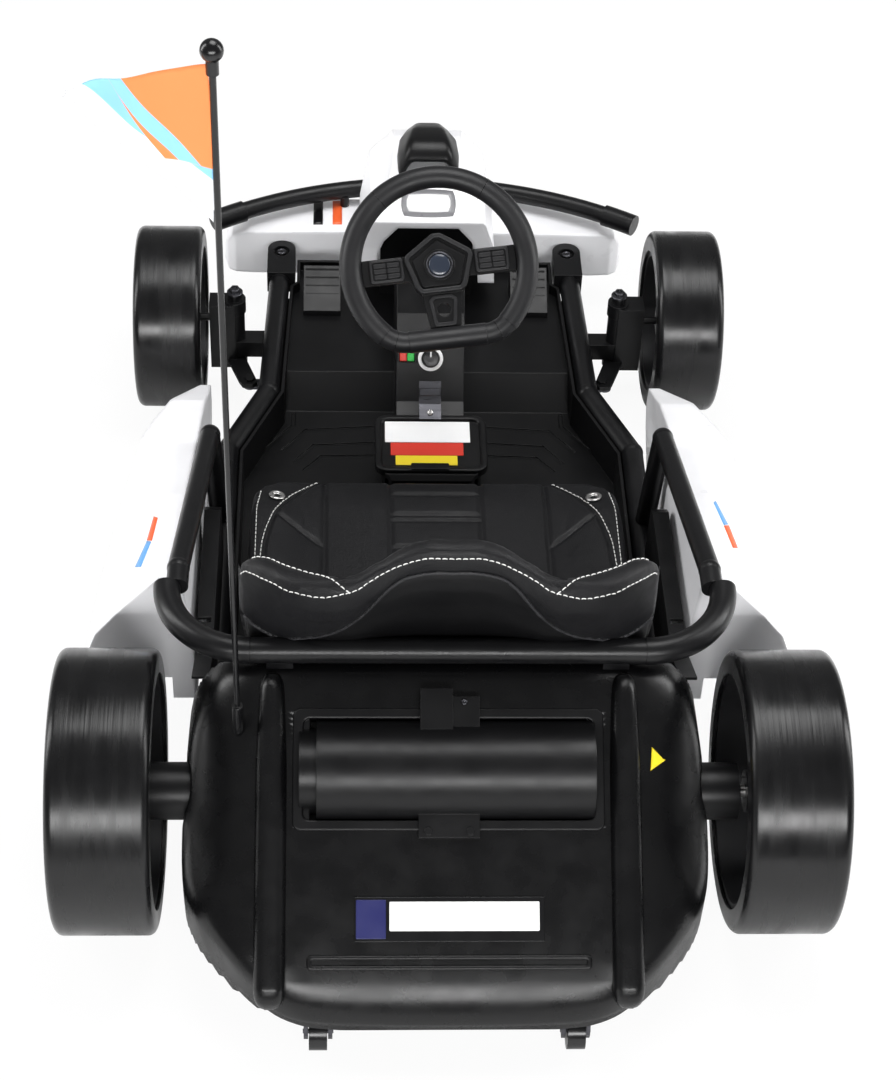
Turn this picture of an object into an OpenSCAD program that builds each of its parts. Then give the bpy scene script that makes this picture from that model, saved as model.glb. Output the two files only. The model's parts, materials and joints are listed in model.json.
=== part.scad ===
// Electric drift kart for a child: tube frame, moulded floor, padded seat and smooth drift tyres.
// X is to the driver's right, Y is forward and Z is up. The floor is at Z = 0.
// Places are worked out from the rear axle, then on_floor() moves the kart so that its box is centred.

/* [Wheels] */
// Distance from the rear axle to the front axle
wheelbase = 838; // [780:2:900]
// Radius of the rear tyres
rear_tyre_r = 153; // [145:1:160]
// Width of the rear tyres
rear_tyre_w = 106; // [90:1:112]
// Distance between the middles of the rear tyres
rear_track = 720; // [712:2:780]
// Radius of the front tyres
front_tyre_r = 119; // [110:1:122]
// Width of the front tyres
front_tyre_w = 86; // [70:1:88]
// Distance between the middles of the front tyres
front_track = 676; // [672:2:720]
// Thickness of the tyre's rubber
tyre_t = 26; // [20:1:32]
// Radius of the round on a tyre's shoulder
shoulder_r = 9; // [5:1:14]
// Radius of the rear axle rod
axle_r = 7; // [5:0.5:9]
// Radius of the front stub axles
stub_r = 5; // [4:0.5:7]

/* [Frame] */
// Diameter of the side rails
rail_d = 29; // [25:1:32]
// Height of the side rails' middle
rail_z = 100; // [98:1:104]
// Half width between the rails beside the seat
rail_rear_x = 256; // [250:1:258]
// Half width between the rails at the front
rail_front_x = 196; // [188:1:202]
// Side of the square front beam
beam_w = 25; // [20:1:26]
// Diameter of the side arms' tube
arm_d = 25; // [20:1:28]
// Diameter of the hoop behind the seat
hoop_d = 29; // [25:1:32]
// Height of the hoop's middle
hoop_z = 305; // [303:1:312]
// Diameter of the front bumper bar
bar_d = 29; // [24:1:32]
// Height of the front bumper bar's middle
bar_z = 152; // [150:1:160]

/* [Steering] */
// Distance between the kingpins
kingpin_track = 508; // [504:1:516]
// Radius of the kingpins
kingpin_r = 6; // [5:0.5:7]
// Length of a steering arm, rearwards from its kingpin
steer_arm_l = 56; // [52:1:58]
// How far a steering arm's end lies inboard of its kingpin
steer_arm_in = 19; // [16:1:22]
// Radius of the steering column
column_r = 12; // [9:0.5:13]
// Outer diameter of the steering wheel
wheel_d = 234; // [220:2:250]
// Thickness of the steering wheel's rim
wheel_rim_d = 26; // [20:1:28]
// Height of the steering wheel's middle
wheel_z = 413; // [400:1:425]
// Radial gap between a turning shaft and its bore
run_gap = 0.06; // [0.04:0.01:0.09]

/* [Body] */
// Wall of the moulded parts
wall = 4; // [3:0.5:5]
// Height of the underside of the floor pan
pan_z = 45; // [42:1:48]
// Half width of the rear cover
cover_x = 286; // [280:1:288]
// Height of the rear cover's top
cover_top = 289; // [284:1:290]
// Half width of the front bumper
bumper_x = 276; // [260:1:280]
// Half width of the nose fairing at its foot
nose_x = 92; // [80:1:110]
// Reach of the side pods from the middle
pod_x = 398; // [380:1:404]
// Half width of the seat
seat_x = 216; // [205:1:220]
// Height of the top of the seat's back
seat_top = 478; // [460:1:490]
// Height of the flag pole's top
pole_top = 1081; // [950:1:1150]
// Diameter of the flag pole
pole_d = 6; // [5:0.5:8]

/* [Casters] */
// Radius of the caster wheels
caster_r = 20; // [16:1:22]
// Width of the caster wheels
caster_w = 19; // [14:1:20]
// Height of the caster wheels over the floor
caster_lift = 6; // [4:1:10]
// Half width between the casters
caster_x = 135; // [120:1:150]
// How far a caster wheel trails behind its stem
caster_trail = 14; // [10:1:16]

/* [Hidden] */
$fn = 48;

// Small gap between pieces that lie face to face, and the overlap of solids that are one piece
seat_gap = 0.3;
bite = 1;
// How much thinner a tube is than the bend that joins it
bead = 1.2;

// Height of the front bumper's top
bumper_top = 132;
// Radius of the front bar's bow
bar_bow_r = 525;

// The kart's ends, measured from the rear axle
tail_y = -243;
bar_front_y = wheelbase + 250;
bar_mid_d = bar_d - 5;
nose_y = bar_front_y + bar_mid_d / 2;
y_shift = -(nose_y + tail_y) / 2;

// Rear axle and wheels
rear_x = rear_track / 2;
rear_z = rear_tyre_r;
front_x = front_track / 2;
front_z = front_tyre_r;
kingpin_x = kingpin_track / 2;
hub_inset = 14;

// Rails: half-side points of the middle line, from the front end to the rear end
rail_bend_y = wheelbase - 128;
rail_knee_y = wheelbase - 242;
rail_front_y = wheelbase + 150;
rail_back_y = -62;
clamp_l = 52;
rail_path = [[rail_front_x, rail_front_y, rail_z], [rail_front_x + 11, rail_bend_y, rail_z],
    [rail_rear_x, rail_knee_y, rail_z], [rail_rear_x, rail_back_y, rail_z]];
rail_top = rail_z + rail_d / 2;
rail_low = rail_z - rail_d / 2;

// Beam under the rails, with a sleeve at each kingpin
beam_top = rail_low - seat_gap;
beam_mid = beam_top - beam_w / 2;
sleeve_r = kingpin_r + 6;
sleeve_low = 56;
sleeve_high = 130;
knuckle_top = 150;
lug_t = 12;

// Steering linkage: pins of the tie bar, and the column's axis at 45 degrees
arm_pin_x = kingpin_x - steer_arm_in;
arm_pin_y = wheelbase - steer_arm_l;
tie_t = 5;
tie_z = 47;
arm_z = tie_z + tie_t + seat_gap;
arm_t = 6;
pin_r = 4;
column_tilt = 45;
wheel_y = wheelbase - 260;
crank_s = (wheel_z - 85) / sin(column_tilt);
crank_r = 46;
ball_r = 6.5;
fork_gap = 3;
// Rim: radius and start angle of its lower corners, and the turn it stands at
corner_r = 40;
corner_a = 45.4;
lap = 0.7;
wheel_turn = 7;

// Floor pan: low floor beside the seat, raised deck over the beam and the tie bar
step_y = wheelbase - 73;
ramp_l = 34;
deck_z = beam_top + seat_gap;
floor_top = pan_z + wall;
deck_top = deck_z + wall;
pan_back_y = 110;
// Channels in the low floor, and the width of the centre tunnel
groove_w = 5;
tunnel_w = 86;
floor_grooves = [[[176, -114], [176, -136], [228, -204]], [[188, -184], [159, -146], [70, -139]],
    [[172, -206], [149, -176], [71, -170]], [[160, -222], [139, -197], [67, -194]]];

// Rear cover: the slope runs down from the top edge to the foot
slope_top_y = 53;
slope_foot = [-215, 110];
slope_a = atan((cover_top - slope_foot.y) / (slope_top_y - slope_foot.x));
cover_low = 58;
cover_front_y = 85;
cover_side = [[tail_y + 10, cover_low], [cover_front_y, cover_low], [cover_front_y, cover_top - 20],
    [cover_front_y - 14, cover_top - 3], [slope_top_y, cover_top], slope_foot, [slope_foot.x - 18, slope_foot.y - 16],
    [tail_y + 2, cover_low + 20], [tail_y, cover_low + 8]];
cover_plan = [[100, tail_y], [cover_x - 128, tail_y + 6], [cover_x - 84, tail_y + 30], [cover_x - 40, tail_y + 76],
    [cover_x - 14, tail_y + 120], [cover_x, tail_y + 172], [cover_x, 40], [cover_x - 6, cover_front_y + 1]];
cover_front = [[cover_x - 4, cover_low], [cover_x, 100], [cover_x - 3, 160], [cover_x - 10, 205], [cover_x - 22, 240],
    [cover_x - 38, 264], [cover_x - 58, 281], [cover_x - 80, cover_top]];
rib_x = 185;
crown = [[300, -500], [300, -90], [278, -44], [256, -22], [232, -8], [rib_x + 20, 0]];
// Bay for the drum: width, foot and length along the slope
bay_w = 316;
bay_k = 158;
bay_l = 118;

// Seat
seat_front_y = wheelbase - 368;
cushion_z = 130;
back_foot_y = 150;

// Places shared by a few pieces
hoop_y = 65;
hoop_r = 92;
arm_top = 252;
flag_x = -220;
flag_y = 4;

function unit(v) = v / norm(v);
// Polygon whose sides all lie d further in; the points run anticlockwise
function inset(p, d) = [for (i = [0:len(p) - 1])
    let (a = p[(i + len(p) - 1) % len(p)], b = p[i], c = p[(i + 1) % len(p)],
        u = unit(b - a), v = unit(c - b), n = [-u.y, u.x], m = unit([-u.y - v.y, u.x + v.x]))
    b + m * d / (m * n)];
// Half outline [x, y] with x > 0, completed by its mirror image
function whole(half) = concat(half, [for (i = [len(half) - 1:-1:0]) [-half[i].x, half[i].y]]);
// Height of the rear cover's slope at y
function slope_z(y) = slope_foot.y + (y - slope_foot.x) * tan(slope_a);
// Half width to the rails' middle line at y
function rail_x(y) = y > rail_bend_y
    ? rail_front_x + 11 * (rail_front_y - y) / (rail_front_y - rail_bend_y)
    : y > rail_knee_y
        ? rail_front_x + 11 + (rail_rear_x - rail_front_x - 11) * (rail_bend_y - y) / (rail_bend_y - rail_knee_y)
        : rail_rear_x;

module on_floor() translate([0, y_shift, 0]) children();
module pair() { children(); mirror([1, 0, 0]) children(); }
// Profile in Y and Z, drawn across X
module across(width, points) rotate([90, 0, 90]) linear_extrude(height = width, center = true) polygon(points);
// Profile in X and Z, drawn along Y
module along(length, points) rotate([90, 0, 0]) linear_extrude(height = length, center = true) polygon(points);
// Its child at a, with Z turned towards b
module aimed(a, b) translate(a) rotate([0, acos((b - a).z / norm(b - a)), atan2((b - a).y, (b - a).x)]) children();
// Straight round bar from a to b
module bar(a, b, d) aimed(a, b) cylinder(h = norm(b - a), d = d);
// Bent tube along a path, with a ball at each bend that stands out by a hair
module bent(path, d) {
    for (i = [0:len(path) - 2]) bar(path[i], path[i + 1], d - bead);
    for (i = [1:len(path) - 2]) aimed(path[i], path[i + 1]) sphere(d = d);
}
// Body cut from three outlines: side [y, z], plan [x, y] and front [x, z]
module form(side, plan, front) intersection() {
    across(2000, side);
    linear_extrude(height = 1000) polygon(plan);
    translate([0, 500, 0]) along(3000, front);
}
// The same, hollow, and open towards each vector in the list
module shell(side, plan, front, t, open) difference() {
    form(side, plan, front);
    form(inset(side, t), inset(plan, t), inset(front, t));
    for (v = open) translate(v * (t + bite)) form(inset(side, t), inset(plan, t), inset(front, t));
}
module steering() translate([0, wheel_y, wheel_z]) rotate([column_tilt, 0, 0]) children();
module tilted() translate([0, slope_foot.x, slope_foot.y]) rotate([slope_a, 0, 0]) children();

// Moulded floor: a low tray between the rails, with a ramp up to the deck over the beam
module floor_pan() on_floor() color("#1c1c1e") {
    edge = rail_d / 2 + 0.9;
    rim_z = rail_z + 4;
    clamp_y = rail_front_y - clamp_l - 5;
    ramp_y = step_y - ramp_l;
    front_y = rail_front_y - 8;
    plan = inset(whole([[rail_rear_x, pan_back_y - edge], [rail_rear_x, rail_knee_y], [rail_front_x + 11, rail_bend_y],
        [rail_x(clamp_y), clamp_y], [rail_front_x - 6, clamp_y + 8], [rail_front_x - 6, front_y + edge]]), edge);
    difference() {
        intersection() {
            linear_extrude(height = 300) polygon(plan);
            across(1000, [[0, pan_z], [ramp_y, pan_z], [step_y, deck_z], [front_y + 9, deck_z], [front_y + 9, rim_z],
                [0, rim_z]]);
        }
        intersection() {
            linear_extrude(height = 300) polygon(inset(plan, wall));
            across(1000, [[0, floor_top], [ramp_y - 2, floor_top], [step_y - 2, deck_top], [front_y + 9, deck_top],
                [front_y + 9, 200], [0, 200]]);
        }
        translate([-26, wheelbase + 18, deck_z - bite]) cube([52, 86, wall + 2 * bite]);
        pair() translate([0, wheelbase, 0]) for (g = floor_grooves) groove(g);
    }
}
// Shallow channel along a path on the low floor
module groove(path) for (i = [0:len(path) - 2]) let (a = path[i], v = path[i + 1] - a)
    translate([a.x, a.y, floor_top - 1.6]) rotate([0, 0, atan2(v.y, v.x)]) translate([-groove_w / 2, -groove_w / 2, 0])
        cube([norm(v) + groove_w, groove_w, 10]);

// Two side rails in a gentle bend, with a bolted clamp at each front end
module side_rails() on_floor() color("#161618") pair() {
    clamp_r = rail_d / 2 + 4.5;
    bolt_y = rail_front_y - 4;
    difference() {
        union() {
            bent(rail_path, rail_d);
            translate([rail_front_x, rail_front_y, rail_low - 2]) linear_extrude(height = rail_d + 4) union() {
                circle(r = clamp_r);
                translate([-clamp_r, -clamp_l]) square([2 * clamp_r, clamp_l]);
            }
        }
        difference() {
            translate([rail_front_x, bolt_y, rail_top - 4]) cylinder(h = 20, r = 11);
            translate([rail_front_x, bolt_y, rail_top - 5]) cylinder(h = 6, r = 6.5);
        }
    }
}

// Square beam across the kart, with the two kingpin sleeves at its ends
module front_beam() on_floor() color("#161618") difference() {
    union() {
        translate([0, wheelbase, beam_mid]) cube([2 * kingpin_x, beam_w, beam_w], center = true);
        for (s = [-1, 1]) translate([s * kingpin_x, wheelbase, sleeve_low])
            cylinder(h = sleeve_high - sleeve_low, r = sleeve_r);
    }
    for (s = [-1, 1]) translate([s * kingpin_x, wheelbase, sleeve_low - bite])
        cylinder(h = 200, r = kingpin_r + run_gap);
}

// White bumper that bows forward between the two front wheels
module front_bumper() on_floor() color("white") {
    front_y = bar_front_y + 4;
    shell([[front_y - 140, 62], [front_y - 14, 58], [front_y, 74], [front_y - 2, 112], [front_y - 10, bumper_top],
            [front_y - 140, bumper_top]],
            whole([[rail_front_x + 40, front_y - 84.7], [bumper_x - 16, front_y - 82.7], [bumper_x - 5, front_y - 76],
                [bumper_x, front_y - 64], [bumper_x - 3, front_y - 50], [bumper_x - 16, front_y - 37],
                [bumper_x - 40, front_y - 27], [bumper_x - 110, front_y - 8], [60, front_y]]),
            [[-bumper_x + 8, 58], [bumper_x - 8, 58], [bumper_x, 70], [bumper_x - 2, 104], [bumper_x - 12, 121],
                [bumper_x - 34, 129], [120, bumper_top], [-120, bumper_top], [-bumper_x + 34, 129],
                [-bumper_x + 12, 121], [-bumper_x + 2, 104], [-bumper_x, 70]],
            wall, [[0, 0, -1]]);
}

// Black bar over the front bumper, bowed forward, with a thick cap on each free end
module bumper_bar() on_floor() color("#161618") {
    bow = asin(288 / bar_bow_r);
    translate([0, bar_front_y - bar_bow_r, bar_z]) {
        rotate([0, 0, 90 - bow]) rotate_extrude(angle = 2 * bow) translate([bar_bow_r, 0]) circle(d = bar_mid_d);
        for (a = [-bow, bow - 5]) rotate([0, 0, 90 + a]) rotate_extrude(angle = 5)
            translate([bar_bow_r, 0]) circle(d = bar_d);
    }
    stand_x = 110;
    stand_y = bar_front_y - bar_bow_r + sqrt(pow(bar_bow_r, 2) - pow(stand_x, 2)) - bar_mid_d / 3;
    pair() translate([stand_x, stand_y, bumper_top + seat_gap]) cylinder(h = bar_z - 4 - bumper_top, d = bar_mid_d / 2);
}

// White hood over the driver's feet; its rear wall has an arch in front of the tower
module nose_fairing() on_floor() color("white") {
    y = wheelbase;
    difference() {
        shell([[y + 60, bumper_top + seat_gap], [y + 232, bumper_top + seat_gap], [y + 230, 190], [y + 218, 246],
                [y + 196, 284], [y + 170, 292], [y + 110, 272], [y + 52, 238], [y + 58, 190]],
            [[nose_x, y + 30], [nose_x, y + 170], [nose_x - 22, y + 250], [-nose_x + 22, y + 250], [-nose_x, y + 170],
                [-nose_x, y + 30]],
            [[nose_x, 120], [nose_x - 3, 190], [nose_x - 16, 232], [nose_x - 38, 266], [nose_x - 52, 300],
                [-nose_x + 52, 300], [-nose_x + 38, 266], [-nose_x + 16, 232], [-nose_x + 3, 190], [-nose_x, 120]],
            wall, [[0, 0, -1]]);
        translate([0, y + 50, 0]) along(60, [[72, 100], [66, 180], [58, 204], [40, 228], [-40, 228], [-58, 204], [-66, 180],
            [-72, 100]]);
    }
}

// Black air scoop on the hood, its mouth towards the driver
module nose_scoop() on_floor() color("#161618") {
    y = wheelbase;
    difference() {
        form([[y + 94, 262.8 + seat_gap], [y + 110, 272 + seat_gap], [y + 170, 292 + seat_gap],
                [y + 196, 284 + seat_gap], [y + 208, 300], [y + 190, 318], [y + 160, 326], [y + 122, 324], [y + 98, 292]],
            [[40, y + 80], [42, y + 150], [36, y + 192], [22, y + 214], [-22, y + 214], [-36, y + 192], [-42, y + 150],
                [-40, y + 80]],
            [[44, 200], [44, 288], [36, 314], [24, 330], [-24, 330], [-36, 314], [-44, 288], [-44, 200]]);
        translate([-17, y + 80, 278]) cube([34, 44, 15]);
    }
}

// Centre tunnel and steering tower; the column turns in its slanting boss
module console() on_floor() color("#18181a") {
    y = wheel_y;
    tower = [[y + 64, floor_top + seat_gap], [step_y - ramp_l - 3, floor_top + seat_gap],
        [step_y - 3, deck_top + seat_gap], [y + 370, deck_top + seat_gap], [y + 199, wheel_z - 155],
        [y + 155, wheel_z - 199], [y + 90, 122], [y + 64, 112]];
    difference() {
        union() {
            difference() {
                across(tunnel_w, tower);
                across(tunnel_w - 2 * wall, inset(tower, wall));
                translate([0, 0, -wall - bite]) across(tunnel_w - 2 * wall, inset(tower, wall));
            }
            intersection() {
                across(60, tower);
                steering() translate([0, 0, 20 - crank_s]) cylinder(h = crank_s - 190, r = column_r + 5);
            }
            translate([-62, y + 346, deck_top + seat_gap]) cube([124, wall, 226 - deck_top]);
        }
        steering() translate([0, 0, -600]) cylinder(h = 600, r = column_r + run_gap);
    }
}

// Box over the plugs behind the tunnel, with three blank label fields on its lid
module console_box() on_floor() color("#18181a") {
    y = wheel_y;
    difference() {
        form([[y - 36, floor_top + seat_gap], [y + 63, floor_top + seat_gap], [y + 63, 104], [y + 55, 110],
                [y - 30, 106], [y - 36, 100]],
            [[50, y - 36], [62, y - 24], [62, y + 55], [54, y + 63], [-54, y + 63], [-62, y + 55], [-62, y - 24],
                [-50, y - 36]],
            [[-62, 0], [62, 0], [62, 200], [-62, 200]]);
        translate([-58, y - 32, 0]) cube([116, 90, 98]);
    }
}

// Round speed knob with its collar, and two small switches beside it
module controls() on_floor() color("#101012") {
    a = atan((wheel_z - 199 - 122) / 65);
    translate([0, wheel_y + 122, wheel_z - 246]) rotate([a, 0, 0]) {
        translate([0, 0, seat_gap]) cylinder(h = 5, r = 16);
        translate([0, 0, 5]) cylinder(h = 9, r = 11);
        for (x = [-25]) for (k = [[-8, 14], [8, 14]])
            translate([x - 6, k[0] - 6, seat_gap]) cube([12, 12, 7]);
    }
}

// Two ribbed pedals on the deck
module pedals() on_floor() color("#1c1c1e") pair()
    translate([140, wheelbase + 40, deck_top + seat_gap]) {
        difference() {
            across(50, [[0, 0], [64, 0], [64, 34], [60, 38], [0, 8]]);
            for (k = [0:4]) translate([-22, 8 + 11 * k, 14 + 5.2 * k]) cube([44, 4, 20]);
        }
    }

// Hollow plastic plinth that carries the cushion
module seat_base() on_floor() color("#161618") difference() {
    form([[pan_back_y + 6, floor_top + seat_gap], [seat_front_y - 20, floor_top + seat_gap],
            [seat_front_y - 8, cushion_z], [pan_back_y + 6, cushion_z]],
        whole([[seat_x - 20, pan_back_y], [seat_x - 20, seat_front_y - 60], [seat_x - 60, seat_front_y]]),
        [[-seat_x + 26, 0], [seat_x - 26, 0], [seat_x - 18, cushion_z + 1], [-seat_x + 18, cushion_z + 1]]);
    translate([0, 0, -wall]) form([[pan_back_y + 6 + wall, 20], [seat_front_y - 30, 20],
            [seat_front_y - 20, cushion_z], [pan_back_y + 6 + wall, cushion_z]],
        whole([[seat_x - 34, pan_back_y + 4], [seat_x - 34, seat_front_y - 66], [seat_x - 70, seat_front_y - 14]]),
        [[-seat_x + 32, 0], [seat_x - 32, 0], [seat_x - 26, cushion_z + 1], [-seat_x + 26, cushion_z + 1]]);
}

// Seat cushion: a hollow in the middle between two raised sides
module seat_cushion() on_floor() color("#202024") difference() {
    form([[back_foot_y + 2, cushion_z + seat_gap], [seat_front_y - 6, cushion_z + seat_gap], [seat_front_y, 146],
            [seat_front_y - 16, 172], [seat_front_y - 60, 184], [back_foot_y + 60, 196], [back_foot_y + 2, 196]],
        whole([[seat_x - 8, back_foot_y - 20], [seat_x, 300], [seat_x - 2, seat_front_y - 60],
            [seat_x - 26, seat_front_y - 8], [seat_x - 70, seat_front_y]]),
        [[-seat_x, 120], [seat_x, 120], [seat_x, 178], [seat_x - 16, 196], [150, 190], [120, 168], [-120, 168],
            [-150, 190], [-seat_x + 16, 196], [-seat_x, 178]]);
    for (s = [-1, 1]) translate([s * 190, 436, 100]) cylinder(h = 200, r = 6);
}

// Seat back: a broad padded board whose upper edge rolls over, with a lobe at each side
module seat_back() on_floor() color("#202024") {
    outline = [[-170, cushion_z], [170, cushion_z], [186, 240], [seat_x - 6, 330], [seat_x - 2, 400],
        [seat_x - 22, 430], [150, 426], [90, 452], [40, seat_top - 6], [0, seat_top], [-40, seat_top - 6],
        [-90, 452], [-150, 426], [-seat_x + 22, 430], [-seat_x + 2, 400], [-seat_x + 6, 330], [-186, 240]];
    intersection() {
        along(2000, outline);
        across(1000, [[back_foot_y - 34, cushion_z + seat_gap], [back_foot_y + 1.5, cushion_z + seat_gap],
            [back_foot_y + 1.5, 196], [back_foot_y - 70, seat_top + 1], [18, seat_top + 1], [14, 450], [78, 340],
            [96, 300]]);
    }
}

// Battery block under the cushion
module battery() on_floor() color("#2a2a2c")
    translate([-76, 240, floor_top + seat_gap]) cube([152, 130, 66]);

// White side pods: tall wedges open below that lean in over the rails, notched in front of the rear wheels
module side_pods() on_floor() color("white") pair() {
    in_x = rail_rear_x + rail_d / 2 + 8;
    tip_y = wheelbase - 172;
    difference() {
        shell([[196, 82], [222, 62], [600, 62], [tip_y - 16, 98], [tip_y, 122], [tip_y - 4, 152], [583, 196], [474, 228],
                [423, 240], [351, 258], [250, 270], [214, 260], [203, 215], [198, 150]],
            [[in_x, 190], [pod_x, 190], [pod_x, 232], [387, 292], [375, 361], [359, 446], [341, 526], [321, 592],
                [292, tip_y - 4], [in_x, tip_y]],
            [[in_x, 50], [pod_x - 40, 50], [pod_x, 110], [pod_x, 156], [pod_x - 10, 182], [pod_x - 34, 212], [312, 262],
                [290, 264], [in_x, 180]],
            wall - 1, [[0, 0, -1]]);
        translate([in_x + 26, 190, 40]) cube([200, 46, 76]);
    }
    for (y = [300, 520]) translate([rail_rear_x + rail_d / 2 + seat_gap, y, rail_z - 4]) cube([10, 30, 8]);
}

// Black panels that stand on the rails beside the seat and close the gap to the pods
module side_panels() on_floor() color("#161618") pair() {
    side = [[90, rail_top + seat_gap], [402, rail_top + seat_gap], [398, 192], [384, 201], [150, 205], [90, 236]];
    translate([rail_rear_x, 0, 0]) across(wall, side);
    difference() {
        translate([rail_rear_x + 8.6, 0, 0]) across(17.2, side);
        translate([rail_rear_x + 9, 0, -wall]) across(18.2, side);
        translate([rail_rear_x - 1, 200, 90]) cube([60, 8, 200]);
    }
}

// Side arms: a leg stands on the rail, and the tube runs back to the hoop's end
module side_arms() on_floor() color("#161618") pair() {
    foot = [rail_rear_x + 4, 462, rail_top - 4];
    end_x = 289;
    end_y = hoop_y + hoop_r + seat_gap;
    difference() {
        bent([foot, [rail_rear_x + 12, 458, arm_top], [end_x, end_y + 28, hoop_z], [end_x, end_y, hoop_z]], arm_d);
        bar([rail_rear_x, 0, rail_z], [rail_rear_x, 900, rail_z], rail_d + 2 * seat_gap);
    }
}

// Quarter bend of the hoop and its short straight end, on the right side
module hoop_bend(d) translate([300 - hoop_r, hoop_y + hoop_r, hoop_z]) rotate([0, 0, -90])
    rotate_extrude(angle = 90) translate([hoop_r, 0]) circle(d = d);

// Thick hoop behind the seat, on two small brackets
module rear_hoop() on_floor() color("#161618") {
    end_x = 300 - hoop_r + 2;
    pair() hoop_bend(hoop_d);
    bar([-end_x, hoop_y, hoop_z], [end_x, hoop_y, hoop_z], hoop_d - bead);
    pair() translate([163, hoop_y - 12, cover_top + seat_gap]) cube([28, 20, hoop_z - cover_top]);
}

// Outer form of the rear cover, with its walls d further in
module cover_form(d) intersection() {
    form(inset(cover_side, d), inset(whole(cover_plan), d), inset(whole(cover_front), d));
    tilted() translate([0, 150, 0]) along(1200, inset(whole(crown), d));
}

// Rear cover: one hollow moulding over the drive, with two long ribs and a bay for the drum
module rear_cover() on_floor() color("#161618") difference() {
    union() {
        difference() {
            cover_form(0);
            cover_form(wall);
            for (v = [[0, 0, -wall - bite], [0, 40, 0], [0, 40, -wall - bite]]) translate(v) cover_form(wall);
        }
        tilted() for (s = [-1, 1]) intersection() {
            translate([s * rib_x, 150, 0]) along(400, [[-22, -3], [22, -3], [16, 8], [10, 11.5], [-10, 11.5], [-16, 8]]);
            across(900, [[-20, -3], [317, -3], [308, 6], [294, 12], [6, 12], [-8, 6]]);
        }
    }
    tilted() translate([-bay_w / 2, bay_k, -wall - 4]) cube([bay_w, bay_l, 60]);
    tilted() translate([-142, 15, -1.6]) cube([284, 6, 20]);
    for (s = [-1, 1]) bar([s * 240, 0, rear_z], [s * 320, 0, rear_z], 84);
}

// Drum bay: a closed tray with the half-round drum lying in it, an end cap, and a tab above and below
module cover_drum() on_floor() color("#161618") tilted() {
    drum_k = bay_k + bay_l / 2;
    difference() {
        translate([-bay_w / 2 + 0.5, bay_k + 0.5, -30]) cube([bay_w - 1, bay_l - 1, 26]);
        translate([-bay_w / 2 + 6, bay_k + 6, -26]) cube([bay_w - 12, bay_l - 12, 60]);
    }
    difference() {
        union() {
            translate([-138, drum_k, -20]) rotate([0, 90, 0]) cylinder(h = 290, r = 54);
            translate([-156, drum_k, -20]) rotate([0, 90, 0]) cylinder(h = 20, r = 45);
        }
        translate([-200, 100, -130]) cube([400, 240, 102]);
    }
    translate([-30, bay_k + 97, seat_gap]) cube([34, 45, 16]);
    translate([-4, bay_k + 97, seat_gap]) cube([36, 37, 12]);
    for (x = [-22, 22]) translate([x, bay_k - 6, 4]) cylinder(h = 4.5, r = 4);
    translate([-32, bay_k - 13, seat_gap]) cube([64, 28, 6]);
}

// Backing of the blank number plate on the slope
module number_plate() on_floor() color("#101012")
    tilted() translate([-98, 39, seat_gap]) cube([196, 46, 2]);

// Steel rod of the rear axle, with a washer and a nut at each end
module rear_axle() on_floor() color("silver") {
    end_x = rear_x + rear_tyre_w / 2 - hub_inset + seat_gap;
    bar([-end_x, 0, rear_z], [end_x, 0, rear_z], 2 * axle_r);
    for (s = [-1, 1]) translate([s * end_x, 0, rear_z]) rotate([0, s * 90, 0]) {
        cylinder(h = 2, r = axle_r + 9);
        translate([0, 0, 1]) cylinder(h = 8, r = axle_r + 4, $fn = 6);
    }
}

// Gear housings on the rails' rear ends; the axle passes through, and a sleeve reaches to each wheel
module gearboxes() on_floor() color("#161618") pair() difference() {
    union() {
        bar([206, 0, rear_z], [rear_x - rear_tyre_w / 2 + 8, 0, rear_z], 62);
        bar([206, 0, rear_z], [268, 0, rear_z], 78);
        bar([180, -4, rear_z + 34], [226, -4, rear_z + 34], 48);
    }
    bar([0, 0, rear_z], [400, 0, rear_z], 2 * axle_r + 2 * seat_gap);
    bar([rail_rear_x, -100, rail_z], [rail_rear_x, 100, rail_z], rail_d + 2 * seat_gap);
}

// Cross tube between the rails' rear ends, and two flat bars that carry the casters
module rear_subframe() on_floor() color("#161618") {
    y = rail_back_y;
    bar([-rail_rear_x + rail_d / 2 + seat_gap, y + 14, rail_z], [rail_rear_x - rail_d / 2 - seat_gap, y + 14, rail_z], 24);
    for (s = [-1, 1]) difference() {
        translate([s * caster_x - 15, -222, rail_z - 20]) cube([30, y + 24 + 222, 9]);
        translate([s * caster_x, -205, 0]) cylinder(h = 200, r = 4 + run_gap);
    }
}

// Flag pole: thin rod in a socket on the cover, with a ball on top
module flag_pole() on_floor() color("#101012") {
    foot = slope_z(flag_y) + 9.5;
    translate([flag_x, flag_y, foot]) cylinder(h = pole_top - foot, d = pole_d);
    difference() {
        translate([flag_x, flag_y, foot - 30]) cylinder(h = 51, d = pole_d + 6);
        cover_form(-seat_gap);
    }
    translate([flag_x, flag_y, pole_top - 22]) cylinder(h = 14, d = pole_d + 5);
    translate([flag_x, flag_y, pole_top]) sphere(r = 10);
}

// Pennant beside the pole
module flag() on_floor() color("orange") {
    x = flag_x - pole_d / 2 - seat_gap;
    translate([0, flag_y, 0]) along(2, [[x, pole_top - 24], [x - 50, pole_top - 22], [x - 116, pole_top - 42],
        [x - 50, pole_top - 104], [x, pole_top - 158]]);
}

// Steering column with the crank and the ball that moves the tie bar
module steering_column() on_floor() color("#2a2a2c") {
    steering() translate([0, 0, -crank_s]) cylinder(h = crank_s - 30, r = column_r);
    steering() translate([0, 0, -crank_s]) {
        cylinder(h = 12, r = column_r + 2);
        translate([-4.5, 2 - crank_r, 1]) cube([9, crank_r, 9]);
    }
    steering() translate([0, -crank_r, -crank_s]) sphere(r = ball_r);
}

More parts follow.
